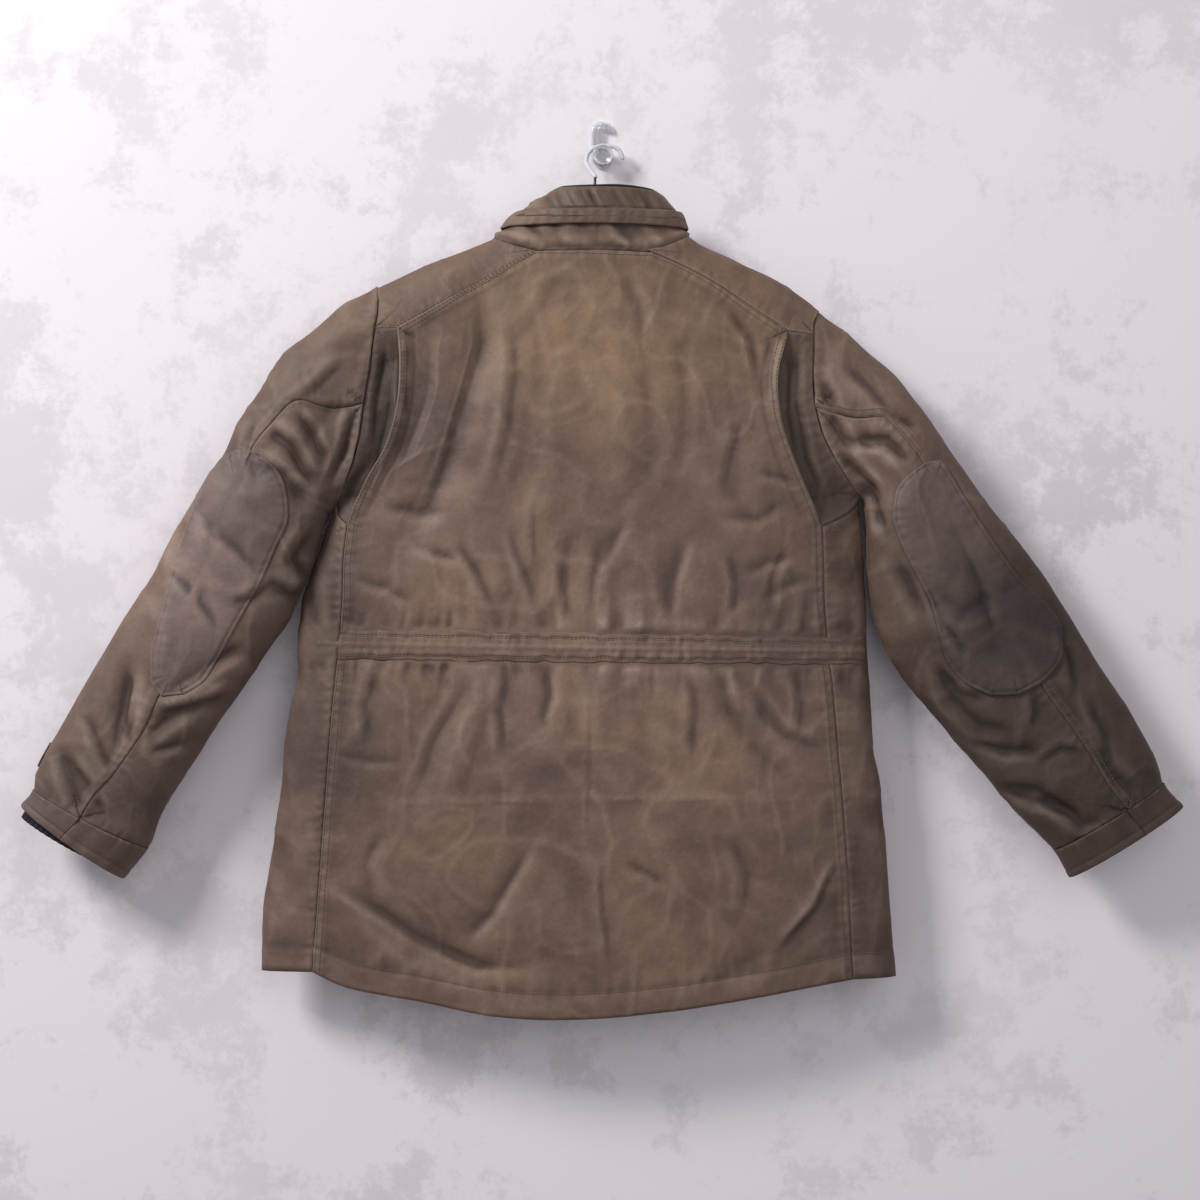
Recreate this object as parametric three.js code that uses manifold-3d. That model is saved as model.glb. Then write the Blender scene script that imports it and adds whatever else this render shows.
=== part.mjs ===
// Waxed cotton field jacket, seen from the back, on a hanger that hangs from a clear wall hook.
// Millimetres, +Z up. The wall is the plane y = 0, the jacket hangs before it on the -Y side,
// and the origin is on the wall, behind the clear hook's plate.

import * as THREE from 'three';
import Module from 'manifold-3d';

const wasm = await Module();
wasm.setup();

// Driving sizes
const clothThickness = 1.6;
const collarThickness = 2.2;
const patchThickness = 1.2;
const seamGap = 0.4;
const armholeEase = 0.9;
const frontArmholeEase = 1.4;
const layerGap = 0.8;
const patchGap = 1.2;
const cutClearance = 0.35;
const bodyMiddleY = -42;
const sleeveMiddleY = -50;
const sectionRoundness = 0.88;
const frontNeckDrop = -211;
const frontHemZ = -886;

// Gathers, studs and small parts
const gatherCount = 45;
const gatherHeight = 1.3;
const casingTopZ = { left: -524, right: -534 };
const casingBottomZ = { left: -556, right: -562 };
const casingEnds = { left: -297, right: 274 };
const flyHalfTurn = 0.028;
const flyStudCount = 6;
const studRadius = 7;
const studHeight = 2.4;
const pipingRadius = 1.3;
const pleatTuck = 17;
const pleatDepth = 2.8;

// Outline of the body at each height: x of both sides, depth behind and before the middle plane.
// Between the shoulders and the armpits the sides run on into the sleeves.
const bodyRows = [
  { z: -931, left: -358, right: 311, back: 35, front: 26 },
  { z: -883, left: -355, right: 307, back: 37, front: 27 },
  { z: -834, left: -354, right: 303, back: 39, front: 28 },
  { z: -744, left: -342, right: 297, back: 40, front: 28 },
  { z: -686, left: -334, right: 291, back: 39, front: 28 },
  { z: -648, left: -332, right: 283, back: 39, front: 28 },
  { z: -600, left: -325, right: 281, back: 37, front: 27 },
  { z: -583, left: -319, right: 280, back: 36, front: 27 },
  { z: -537, left: -318, right: 277, back: 34, front: 26 },
  { z: -495, left: -315, right: 276, back: 38, front: 27 },
  { z: -474, left: -307, right: 275, back: 39, front: 28 },
  { z: -453, left: -299, right: 274, back: 40, front: 28 },
  { z: -426, left: -291, right: 271, back: 40, front: 28 },
  { z: -395, left: -279, right: 269, back: 41, front: 28 },
  { z: -363, left: -301, right: 279, back: 41, front: 28 },
  { z: -327, left: -318, right: 287, back: 41, front: 28 },
  { z: -285, left: -324, right: 285, back: 40, front: 27 },
  { z: -243, left: -316, right: 268, back: 38, front: 26 },
  { z: -213, left: -297, right: 245, back: 37, front: 25 },
  { z: -184, left: -265, right: 216, back: 35, front: 24 },
  { z: -167, left: -235, right: 192, back: 33, front: 23 },
  { z: -147, left: -194, right: 154, back: 31, front: 22 },
  { z: -127, left: -142, right: 110, back: 28, front: 21 },
  { z: -115, left: -113, right: 90, back: 25, front: 20 },
];

// Seam lines on the back, each as places x, z from bottom to top or from left to right.
const seamLines = {
  sideBackLeft: [[-302, -881], [-292, -744], [-282, -612], [-271, -495], [-270, -453], [-266, -416]],
  sideBackRight: [[260, -889], [252, -744], [240, -598], [230, -495], [229, -450], [228, -418]],
  pleatLeft: [[-266, -416], [-245, -370], [-225, -335], [-213, -293], [-210, -245], [-213, -212]],
  pleatRight: [[228, -418], [205, -365], [193, -335], [184, -303], [182, -260], [193, -215]],
  yokeLeft: [[-213, -212], [-139, -171], [-65, -130]],
  yokeRight: [[46, -131], [81, -146], [122, -168], [156, -191], [193, -215]],
  neckBack: [[-65, -130], [-4, -129], [46, -131]],
  neckSideLeft: [[-65, -130], [-92, -123], [-113, -115]],
  neckSideRight: [[46, -131], [71, -125], [90, -115]],
  hemBack: [[-302, -881], [-268, -896], [-190, -910], [-115, -925], [-42, -929], [73, -920], [260, -889]],
};

// The armholes, from the shoulder point to the yoke's corner, and from there to the armpit.
const armholeLines = {
  left: { yoke: [[-235, -167], [-233, -190], [-237, -212]],
    side: [[-237, -212], [-240, -243], [-247, -285], [-257, -344], [-279, -395]] },
  right: { yoke: [[227, -192], [220, -205], [219, -218]],
    side: [[219, -218], [218, -250], [219, -285], [228, -322], [245, -354], [269, -388]] },
};

// The neck on the hidden front, from the neck's side to the centre.
const frontNeckLines = {
  left: [[-107, -135], [-88, -168], [-52, -200], [-6, -211]],
  right: [[86, -135], [70, -168], [38, -200], [-6, -211]],
};
const frontYokeLines = {
  left: [[-107, -135], [-170, -168], [-237, -212]],
  right: [[86, -135], [150, -172], [219, -218]],
};

// Sleeves, a row for each ring: outer and inner edge, half depth, and where the hind seam
// crosses the ring (0 on the outer edge, 1 on the inner edge, round the back).
// The last row lies past the cuff's edge and shapes the knitted cuff.
const sleeveRows = {
  left: [
    { outerX: -235, outerZ: -167, innerX: -279, innerZ: -395, depth: 25, hind: 0.50 },
    { outerX: -268, outerZ: -184, innerX: -285, innerZ: -399, depth: 28, hind: 0.47 },
    { outerX: -302, outerZ: -213, innerX: -289, innerZ: -404, depth: 30, hind: 0.42 },
    { outerX: -331, outerZ: -236, innerX: -292, innerZ: -412, depth: 32, hind: 0.37 },
    { outerX: -356, outerZ: -274, innerX: -296, innerZ: -425, depth: 33, hind: 0.33 },
    { outerX: -378, outerZ: -306, innerX: -300, innerZ: -442, depth: 34, hind: 0.31 },
    { outerX: -397, outerZ: -345, innerX: -305, innerZ: -462, depth: 34, hind: 0.32 },
    { outerX: -420, outerZ: -384, innerX: -315, innerZ: -484, depth: 34, hind: 0.34 },
    { outerX: -442, outerZ: -418, innerX: -329, innerZ: -514, depth: 34, hind: 0.38 },
    { outerX: -472, outerZ: -472, innerX: -351, innerZ: -547, depth: 34, hind: 0.43 },
    { outerX: -496, outerZ: -508, innerX: -375, innerZ: -583, depth: 33, hind: 0.48 },
    { outerX: -522, outerZ: -552, innerX: -400, innerZ: -618, depth: 32, hind: 0.53 },
    { outerX: -549, outerZ: -601, innerX: -423, innerZ: -655, depth: 31, hind: 0.55 },
    { outerX: -572, outerZ: -643, innerX: -448, innerZ: -691, depth: 30, hind: 0.54 },
    { outerX: -588, outerZ: -673, innerX: -465, innerZ: -722, depth: 29, hind: 0.50 },
    { outerX: -593, outerZ: -693, innerX: -477, innerZ: -753, depth: 28, hind: 0.47 },
    { outerX: -606, outerZ: -710, innerX: -502, innerZ: -784, depth: 27, hind: 0.46 },
    { outerX: -617, outerZ: -728, innerX: -513, innerZ: -802, depth: 26, hind: 0.46 },
  ],
  right: [
    { outerX: 227, outerZ: -192, innerX: 269, innerZ: -388, depth: 25, hind: 0.50 },
    { outerX: 256, outerZ: -213, innerX: 273, innerZ: -393, depth: 28, hind: 0.48 },
    { outerX: 280, outerZ: -237, innerX: 275, innerZ: -400, depth: 30, hind: 0.43 },
    { outerX: 303, outerZ: -258, innerX: 276, innerZ: -413, depth: 32, hind: 0.38 },
    { outerX: 324, outerZ: -285, innerX: 277, innerZ: -433, depth: 33, hind: 0.35 },
    { outerX: 348, outerZ: -316, innerX: 278, innerZ: -458, depth: 34, hind: 0.33 },
    { outerX: 378, outerZ: -357, innerX: 280, innerZ: -488, depth: 34, hind: 0.33 },
    { outerX: 405, outerZ: -395, innerX: 285, innerZ: -516, depth: 34, hind: 0.34 },
    { outerX: 432, outerZ: -430, innerX: 293, innerZ: -542, depth: 34, hind: 0.36 },
    { outerX: 464, outerZ: -474, innerX: 313, innerZ: -574, depth: 34, hind: 0.39 },
    { outerX: 492, outerZ: -518, innerX: 339, innerZ: -605, depth: 33, hind: 0.42 },
    { outerX: 522, outerZ: -567, innerX: 367, innerZ: -638, depth: 32, hind: 0.43 },
    { outerX: 552, outerZ: -612, innerX: 401, innerZ: -678, depth: 31, hind: 0.43 },
    { outerX: 579, outerZ: -662, innerX: 430, innerZ: -713, depth: 30, hind: 0.43 },
    { outerX: 586, outerZ: -686, innerX: 472, innerZ: -756, depth: 28, hind: 0.42 },
    { outerX: 607, outerZ: -710, innerX: 489, innerZ: -784, depth: 27, hind: 0.42 },
    { outerX: 618, outerZ: -728, innerX: 500, innerZ: -802, depth: 26, hind: 0.42 },
  ],
};

// Elbow patches: the places where each crossing row starts and ends, from the top down.
const patchRows = {
  left: [
    { fromX: -385, fromZ: -343, toX: -362, toZ: -341 },
    { fromX: -402, fromZ: -354, toX: -339, toZ: -356 },
    { fromX: -416, fromZ: -376, toX: -327, toZ: -381 },
    { fromX: -428, fromZ: -405, toX: -325, toZ: -408 },
    { fromX: -440, fromZ: -442, toX: -338, toZ: -441 },
    { fromX: -450, fromZ: -482, toX: -356, toZ: -481 },
    { fromX: -458, fromZ: -517, toX: -375, toZ: -514 },
    { fromX: -466, fromZ: -550, toX: -395, toZ: -550 },
    { fromX: -466, fromZ: -576, toX: -412, toZ: -577 },
    { fromX: -454, fromZ: -594, toX: -433, toZ: -592 },
  ],
  right: [
    { fromX: 331, fromZ: -354, toX: 350, toZ: -351 },
    { fromX: 313, fromZ: -368, toX: 360, toZ: -365 },
    { fromX: 303, fromZ: -385, toX: 373, toZ: -387 },
    { fromX: 300, fromZ: -408, toX: 390, toZ: -413 },
    { fromX: 310, fromZ: -440, toX: 412, toZ: -446 },
    { fromX: 325, fromZ: -470, toX: 433, toZ: -474 },
    { fromX: 339, fromZ: -498, toX: 458, toZ: -498 },
    { fromX: 346, fromZ: -524, toX: 475, toZ: -524 },
    { fromX: 353, fromZ: -550, toX: 475, toZ: -550 },
    { fromX: 372, fromZ: -577, toX: 456, toZ: -577 },
    { fromX: 402, fromZ: -593, toX: 428, toZ: -592 },
  ],
};

// The collar above its seam, a row for each height: side edges, back and front centre, depths.
const collarRows = [
  { leftX: -104, leftZ: -107, rightX: 86, rightZ: -107, backZ: -104, frontZ: -188, back: 29, front: 20 },
  { leftX: -87, leftZ: -90, rightX: 79, rightZ: -90, backZ: -89, frontZ: -172, back: 28, front: 20 },
  { leftX: -68, leftZ: -75, rightX: 69, rightZ: -77, backZ: -75, frontZ: -158, back: 26, front: 20 },
  { leftX: -50, leftZ: -64, rightX: 59, rightZ: -68, backZ: -65, frontZ: -148, back: 24, front: 19 },
];

// Main folds of the back: a trough (depth above 0) or ridge along a line of places x, z.
const backFolds = [
  { depth: 7, width: 20, line: [[-128, -172], [-128, -230], [-146, -293], [-165, -358], [-204, -442]] },
  { depth: 5, width: 15, line: [[-179, -216], [-182, -272], [-192, -314], [-213, -365]] },
  { depth: 5, width: 32, line: [[79, -211], [84, -285], [81, -369]] },
  { depth: 4, width: 15, line: [[131, -186], [156, -226], [162, -272]] },
  { depth: 5, width: 22, line: [[-139, -578], [-175, -642], [-192, -695]] },
  { depth: 4, width: 18, line: [[-270, -777], [-234, -816], [-190, -845], [-128, -872], [-45, -872]] },
  { depth: 4, width: 18, line: [[-69, -730], [-115, -819], [-145, -848]] },
  { depth: -5, width: 16, line: [[246, -772], [221, -813], [179, -863]] },
  { depth: 4, width: 20, line: [[146, -571], [188, -636], [235, -653]] },
  { depth: -3, width: 9, line: [[-275, -711], [-13, -702], [240, -705]] },
  { depth: 3, width: 16, line: [[51, -575], [51, -640], [48, -726]] },
];

// Main folds of the sleeves.
const sleeveFolds = {
  left: [
    { depth: 7, width: 12, line: [[-262, -330], [-285, -345], [-312, -390]] },
    { depth: 5, width: 10, line: [[-275, -290], [-296, -320], [-316, -360]] },
    { depth: 5, width: 14, line: [[-419, -404], [-385, -436], [-355, -470]] },
    { depth: 5, width: 16, line: [[-488, -563], [-500, -620], [-506, -656]] },
    { depth: -4, width: 10, line: [[-462, -606], [-410, -600], [-382, -584]] },
  ],
  right: [
    { depth: 6, width: 11, line: [[240, -316], [262, -352], [280, -400]] },
    { depth: 5, width: 10, line: [[262, -305], [290, -350], [300, -380]] },
    { depth: 5, width: 15, line: [[370, -430], [392, -480], [410, -540]] },
    { depth: 4, width: 15, line: [[415, -695], [450, -706], [507, -722]] },
    { depth: 5, width: 13, line: [[385, -638], [420, -650], [454, -656]] },
  ],
};

// Colours of the cloths and hard parts
const colours = {
  waxedCotton: { color: 0x6e5c4a, roughness: 0.62, metalness: 0 },
  patchCloth: { color: 0x6b6058, roughness: 0.66, metalness: 0 },
  darkCloth: { color: 0x23242a, roughness: 0.85, metalness: 0 },
  knit: { color: 0x1f2028, roughness: 0.95, metalness: 0 },
  stud: { color: 0xb9b6ae, roughness: 0.3, metalness: 1 },
  hanger: { color: 0x1b1b1e, roughness: 0.5, metalness: 0 },
  wire: { color: 0xc9cbd0, roughness: 0.25, metalness: 1 },
  clear: { color: 0xe6e9ee, roughness: 0.1, metalness: 0 },
};

const jacket = new THREE.Group();

function addPiece(name, geometry, finish) {
  const mesh = new THREE.Mesh(geometry, new THREE.MeshStandardMaterial(finish));
  mesh.name = name;
  jacket.add(mesh);
}

// Curves and tables

function mix(from, to, share) {
  return from + (to - from) * share;
}

function ease(share) {
  const t = Math.min(Math.max(share, 0), 1);
  return t * t * (3 - 2 * t);
}

// Smooth reading of a table's column, with no overshoot between the rows.
function columnReader(rows, keyOf, column) {
  const count = rows.length;
  const key = rows.map(keyOf);
  const value = rows.map((row) => row[column]);
  const rise = [];
  for (let i = 0; i < count - 1; i += 1) {
    rise.push((value[i + 1] - value[i]) / (key[i + 1] - key[i]));
  }
  const slope = value.map((unused, i) => {
    if (i === 0) return rise[0];
    if (i === count - 1) return rise[count - 2];
    if (rise[i - 1] * rise[i] <= 0) return 0;
    return 2 * rise[i - 1] * rise[i] / (rise[i - 1] + rise[i]);
  });
  return (at) => {
    const place = Math.min(Math.max(at, key[0]), key[count - 1]);
    let i = 0;
    while (i < count - 2 && place > key[i + 1]) i += 1;
    const step = key[i + 1] - key[i];
    const t = (place - key[i]) / step;
    const start = (1 + 2 * t) * (1 - t) * (1 - t) * value[i];
    const end = t * t * (3 - 2 * t) * value[i + 1];
    const startSlope = t * (1 - t) * (1 - t) * step * slope[i];
    const endSlope = t * t * (t - 1) * step * slope[i + 1];
    return start + end + startSlope + endSlope;
  };
}

function tableReader(rows, keyOf) {
  const readers = {};
  for (const column of Object.keys(rows[0])) {
    readers[column] = columnReader(rows, keyOf, column);
  }
  return (column, at) => readers[column](at);
}

// Places in steps along a smooth line through the given x, z places. The steps are equal, or
// crowd together at the line's end where crowding is above 1.
function alongLine(places, steps, crowding = 1) {
  const points = places.map(([x, z]) => new THREE.Vector3(x, 0, z));
  const curve = new THREE.CatmullRomCurve3(points, false, 'centripetal');
  const found = [];
  for (let i = 0; i <= steps; i += 1) {
    const point = curve.getPointAt(1 - (1 - i / steps) ** crowding);
    found.push({ x: point.x, z: point.z });
  }
  return found;
}

function distanceToLine(x, z, line) {
  let nearest = { distance: Infinity, along: 0 };
  for (let i = 0; i < line.length - 1; i += 1) {
    const [fromX, fromZ] = line[i];
    const runX = line[i + 1][0] - fromX;
    const runZ = line[i + 1][1] - fromZ;
    const share = ((x - fromX) * runX + (z - fromZ) * runZ) / (runX * runX + runZ * runZ);
    const t = Math.min(Math.max(share, 0), 1);
    const distance = Math.hypot(x - fromX - t * runX, z - fromZ - t * runZ);
    if (distance < nearest.distance) nearest = { distance, along: (i + t) / (line.length - 1) };
  }
  return nearest;
}

// How far the cloth is pushed in at x, z by a list of folds, fading at each fold's ends.
function foldDepth(x, z, folds) {
  let depth = 0;
  for (const fold of folds) {
    const { distance, along } = distanceToLine(x, z, fold.line);
    const fade = Math.sqrt(Math.max(0, Math.sin(Math.PI * mix(0.12, 0.88, along))));
    depth += fold.depth * fade * Math.exp(-((distance / fold.width) ** 2));
  }
  return depth;
}

function signedPower(value, power) {
  return Math.sign(value) * Math.abs(value) ** power;
}

// The body's surface: around is 0 at centre back, 0.5 at the right side, -0.5 at the left side
// and 1 or -1 at centre front.

const bodyAt = tableReader(bodyRows, (row) => row.z);

function bodyPoint(around, z) {
  const turn = around * Math.PI;
  const left = bodyAt('left', z);
  const right = bodyAt('right', z);
  const x = (left + right) / 2 + (right - left) / 2 * signedPower(Math.sin(turn), sectionRoundness);
  const facing = signedPower(Math.cos(turn), sectionRoundness);
  const depth = facing > 0 ? bodyAt('back', z) : bodyAt('front', z);
  const push = foldDepth(x, z, backFolds) * Math.min(Math.abs(facing) * 2, 1);
  const give = facing > 0 ? push : -push * 0.5;
  return new THREE.Vector3(x, bodyMiddleY - depth * facing + give, z);
}

function bodySample(place) {
  const turnStep = 0.002;
  const heightStep = 0.5;
  const { around, z } = place;
  const along = bodyPoint(around + turnStep, z).sub(bodyPoint(around - turnStep, z));
  const up = bodyPoint(around, z + heightStep).sub(bodyPoint(around, z - heightStep));
  return { point: bodyPoint(around, z), normal: along.cross(up).normalize() };
}

function backShare(x, z) {
  const left = bodyAt('left', z);
  const right = bodyAt('right', z);
  const across = (x - (left + right) / 2) / ((right - left) / 2);
  const inside = Math.min(Math.max(across, -1), 1);
  return Math.asin(signedPower(inside, 1 / sectionRoundness)) / Math.PI;
}

function onBack({ x, z }) {
  return { around: backShare(x, z), z };
}

function onFront(side) {
  const half = side === 'left' ? -1 : 1;
  return ({ x, z }) => ({ around: half - backShare(x, z), z });
}

// A patch of places between four edges, each a list of places with around and z.
function patchBetween(left, right, bottom, top) {
  const rows = left.length - 1;
  const columns = bottom.length - 1;
  const blend = (i, j, part) => {
    const u = i / columns;
    const v = j / rows;
    const sides = mix(left[j][part], right[j][part], u);
    const ends = mix(bottom[i][part], top[i][part], v);
    const low = mix(bottom[0][part], bottom[columns][part], u);
    const high = mix(top[0][part], top[columns][part], u);
    return sides + ends - mix(low, high, v);
  };
  const placeAt = (i, j) => ({ around: blend(i, j, 'around'), z: blend(i, j, 'z') });
  return { rows, columns, placeAt };
}

// Turns a grid of surface samples into a closed wall of cloth. Each edge steps back by half
// the seam gap, so two panels that share a seam stay clear of each other.
function clothWall(columns, rows, sampleAt, thickness, options = {}) {
  const wrap = options.wrap ?? false;
  const width = wrap ? columns : columns + 1;
  const outer = [];
  const inner = [];
  for (let j = 0; j <= rows; j += 1) {
    for (let i = 0; i < width; i += 1) {
      const { point, normal, lift = 0 } = sampleAt(i, j);
      outer.push(point.clone().addScaledVector(normal, lift));
      inner.push(point.clone().addScaledVector(normal, lift - thickness));
    }
  }
  const indexOf = (i, j) => j * width + (wrap ? (i + columns) % columns : i);
  const stepBack = (layer, edge, inside) => {
    const move = layer[inside].clone().sub(layer[edge]);
    const length = Math.min(seamGap / 2, move.length() * 0.3);
    return move.setLength(length);
  };
  for (const layer of [outer, inner]) {
    const moves = [];
    for (let i = 0; i < width; i += 1) {
      moves.push([indexOf(i, 0), stepBack(layer, indexOf(i, 0), indexOf(i, 1))]);
      moves.push([indexOf(i, rows), stepBack(layer, indexOf(i, rows), indexOf(i, rows - 1))]);
    }
    for (let j = 0; j <= rows && !wrap; j += 1) {
      moves.push([indexOf(0, j), stepBack(layer, indexOf(0, j), indexOf(1, j))]);
      moves.push([indexOf(columns, j), stepBack(layer, indexOf(columns, j), indexOf(columns - 1, j))]);
    }
    for (const [index, move] of moves) layer[index].add(move);
  }
  const points = [...outer, ...inner];
  const innerStart = outer.length;
  const faces = [];
  const quad = (a, b, c, d) => faces.push(a, b, c, a, c, d);
  for (let j = 0; j < rows; j += 1) {
    for (let i = 0; i < columns; i += 1) {
      const corners = [indexOf(i, j), indexOf(i + 1, j), indexOf(i + 1, j + 1), indexOf(i, j + 1)];
      quad(...corners);
      const [a, b, c, d] = corners.map((index) => index + innerStart);
      faces.push(c, b, a, d, c, a);
    }
  }
  for (let i = 0; i < columns; i += 1) {
    const low = [indexOf(i, 0), indexOf(i + 1, 0)];
    const high = [indexOf(i, rows), indexOf(i + 1, rows)];
    quad(low[1], low[0], low[0] + innerStart, low[1] + innerStart);
    quad(high[0], high[1], high[1] + innerStart, high[0] + innerStart);
  }
  for (let j = 0; j < rows && !wrap; j += 1) {
    const near = [indexOf(0, j), indexOf(0, j + 1)];
    const far = [indexOf(columns, j), indexOf(columns, j + 1)];
    quad(near[0], near[1], near[1] + innerStart, near[0] + innerStart);
    quad(far[1], far[0], far[0] + innerStart, far[1] + innerStart);
  }
  return closedGeometry(points, faces);
}

// Builds the geometry, with its faces turned out whichever way the grid ran.
function closedGeometry(points, faces) {
  let volume = 0;
  for (let i = 0; i < faces.length; i += 3) {
    const [a, b, c] = [points[faces[i]], points[faces[i + 1]], points[faces[i + 2]]];
    volume += a.dot(b.clone().cross(c));
  }
  for (let i = 0; i < faces.length && volume < 0; i += 3) {
    faces.splice(i, 3, faces[i + 1], faces[i], faces[i + 2]);
  }
  const geometry = new THREE.BufferGeometry();
  const positions = points.flatMap((point) => [point.x, point.y, point.z]);
  geometry.setAttribute('position', new THREE.Float32BufferAttribute(positions, 3));
  geometry.setIndex(faces);
  geometry.computeVertexNormals();
  return geometry;
}

function panel(edges, thickness, lift = 0) {
  const { rows, columns, placeAt } = edges;
  return clothWall(columns, rows, (i, j) => ({ ...bodySample(placeAt(i, j)), lift }), thickness);
}

function toSolid(geometry) {
  const vertProperties = Float32Array.from(geometry.attributes.position.array);
  const triVerts = Uint32Array.from(geometry.index.array);
  return new wasm.Manifold(new wasm.Mesh({ numProp: 3, vertProperties, triVerts }));
}

// The first geometry with the second cut out of it. Slivers that the cut parts off are dropped.
function cutAway(geometry, cutter) {
  const pieces = toSolid(geometry).subtract(toSolid(cutter)).decompose();
  pieces.sort((a, b) => b.volume() - a.volume());
  const { vertProperties, triVerts } = pieces[0].getMesh();
  const cut = new THREE.BufferGeometry();
  cut.setAttribute('position', new THREE.BufferAttribute(vertProperties, 3));
  cut.setIndex(new THREE.BufferAttribute(triVerts, 1));
  cut.computeVertexNormals();
  return cut;
}

// Seams as lists of places on the body, shared by the panels on both sides of each seam.
const sideSteps = 11;
const pleatSteps = 7;
const yokeSteps = 6;
const neckSteps = 6;
const neckSideSteps = 3;
const armholeYokeSteps = 3;
const armpitCrowding = 1.6;

function backLine(name, steps) {
  return alongLine(seamLines[name], steps).map(onBack);
}

function joined(...lists) {
  return lists.flatMap((list, i) => (i === 0 ? list : list.slice(1)));
}

function reversed(list) {
  return [...list].reverse();
}

const sideBack = {
  left: backLine('sideBackLeft', sideSteps),
  right: backLine('sideBackRight', sideSteps),
};
const pleatEdge = {
  left: backLine('pleatLeft', pleatSteps),
  right: backLine('pleatRight', pleatSteps),
};
const yokeBack = {
  left: backLine('yokeLeft', yokeSteps),
  right: backLine('yokeRight', yokeSteps),
};
const neckBack = backLine('neckBack', neckSteps);
const hemBack = backLine('hemBack', yokeSteps * 2 + neckSteps);

// Each armhole's places on the back, from the shoulder point down, and the same on the front.
function armholeHalf(side, place) {
  const yoke = alongLine(armholeLines[side].yoke, armholeYokeSteps).map(place);
  const down = alongLine(armholeLines[side].side, pleatSteps, armpitCrowding).map(place);
  const half = joined(yoke, down);
  half[0].around = side === 'left' ? -0.5 : 0.5;
  half[half.length - 1].around = half[0].around;
  return half;
}

const gussetColumns = 3;

// The short seam below the gusset, from the side-back seam's top to the armpit.
function gussetFoot(side) {
  const seamTop = sideBack[side][sideSteps];
  const armpit = armholeHalf(side, onBack).pop();
  const places = [];
  for (let i = 0; i <= gussetColumns; i += 1) {
    const share = i / gussetColumns;
    const z = mix(seamTop.z, armpit.z, share);
    places.push({ around: mix(seamTop.around, armpit.around, share), z });
  }
  return places;
}

function neckSide(side) {
  const name = side === 'left' ? 'neckSideLeft' : 'neckSideRight';
  const back = backLine(name, neckSideSteps);
  back[neckSideSteps].around = side === 'left' ? -0.5 : 0.5;
  const seamTop = seamLines[name][seamLines[name].length - 1];
  const front = alongLine([seamTop, frontNeckLines[side][0]], neckSideSteps).map(onFront(side));
  front[0].around = back[neckSideSteps].around;
  return { back, front };
}

function frontNeck(side) {
  const line = alongLine(frontNeckLines[side], neckSteps).map(onFront(side));
  line[neckSteps].around = side === 'left' ? -1 : 1;
  line[neckSteps].z = frontNeckDrop;
  return line;
}

// Back panel
function backPanel() {
  const left = joined(sideBack.left, pleatEdge.left);
  const right = joined(sideBack.right, pleatEdge.right);
  const top = joined(yokeBack.left, neckBack, yokeBack.right);
  return panel(patchBetween(left, right, hemBack, top), clothThickness);
}

// Front panels, each round the side from the side-back seam to the centre front
function frontOutside(side) {
  const armhole = reversed(armholeHalf(side, onFront(side)).slice(armholeYokeSteps));
  return joined(sideBack[side], gussetFoot(side), armhole);
}

function frontPanel(side, thickness = clothThickness, lift = 0) {
  const half = side === 'left' ? -1 : 1;
  const outside = frontOutside(side);
  const heights = frontOutside('left').map((place) => place.z);
  const low = heights[0];
  const high = heights[heights.length - 1];
  const centre = heights.map((z) => ({
    around: half,
    z: mix(frontHemZ, frontNeckDrop, (z - low) / (high - low)),
  }));
  const yoke = reversed(alongLine(frontYokeLines[side], yokeSteps + 1).map(onFront(side)));
  const top = joined(yoke, frontNeck(side));
  const columns = top.length - 1;
  const bottom = top.map((unused, i) => ({
    around: mix(outside[0].around, half, i / columns),
    z: mix(outside[0].z, frontHemZ, i / columns),
  }));
  const edges = side === 'left'
    ? patchBetween(outside, centre, bottom, top)
    : patchBetween(reversed(centre), reversed(outside), reversed(top), reversed(bottom));
  return panel(edges, thickness, lift);
}

// Shoulder yokes, from the neck to the armhole, across the shoulder from back to front
function yokePanel(side) {
  const backArmhole = armholeHalf(side, onBack).slice(0, armholeYokeSteps + 1);
  const frontArmhole = armholeHalf(side, onFront(side)).slice(0, armholeYokeSteps + 1);
  const neck = neckSide(side);
  const neckEnd = joined(neck.back, neck.front);
  const armEnd = joined(reversed(backArmhole), frontArmhole);
  const seam = side === 'left' ? reversed(yokeBack.left) : yokeBack.right;
  const backEdge = [...seam, armEnd[0]];
  const frontEdge = alongLine(frontYokeLines[side], yokeSteps + 1).map(onFront(side));
  const ridge = backEdge.map((unused, j) => {
    const share = j / (backEdge.length - 1);
    return { around: neck.back[neckSideSteps].around, z: mix(neckEnd[3].z, armEnd[3].z, share) };
  });
  const columns = neckEnd.length - 1;
  const placeAt = (i, j) => {
    const share = j / (backEdge.length - 1);
    const behind = i <= neckSideSteps;
    const from = behind ? backEdge[j] : ridge[j];
    const to = behind ? ridge[j] : frontEdge[j];
    const t = behind ? i / neckSideSteps : i / neckSideSteps - 1;
    const straight = { around: mix(from.around, to.around, t), z: mix(from.z, to.z, t) };
    const bend = (part) => {
      const base = behind ? 0 : neckSideSteps;
      const neckStraight = mix(neckEnd[base][part], neckEnd[base + neckSideSteps][part], t);
      const armStraight = mix(armEnd[base][part], armEnd[base + neckSideSteps][part], t);
      return mix(neckEnd[i][part] - neckStraight, armEnd[i][part] - armStraight, share);
    };
    return { around: straight.around + bend('around'), z: straight.z + bend('z') };
  };
  return panel({ rows: backEdge.length - 1, columns, placeAt }, clothThickness);
}

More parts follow.
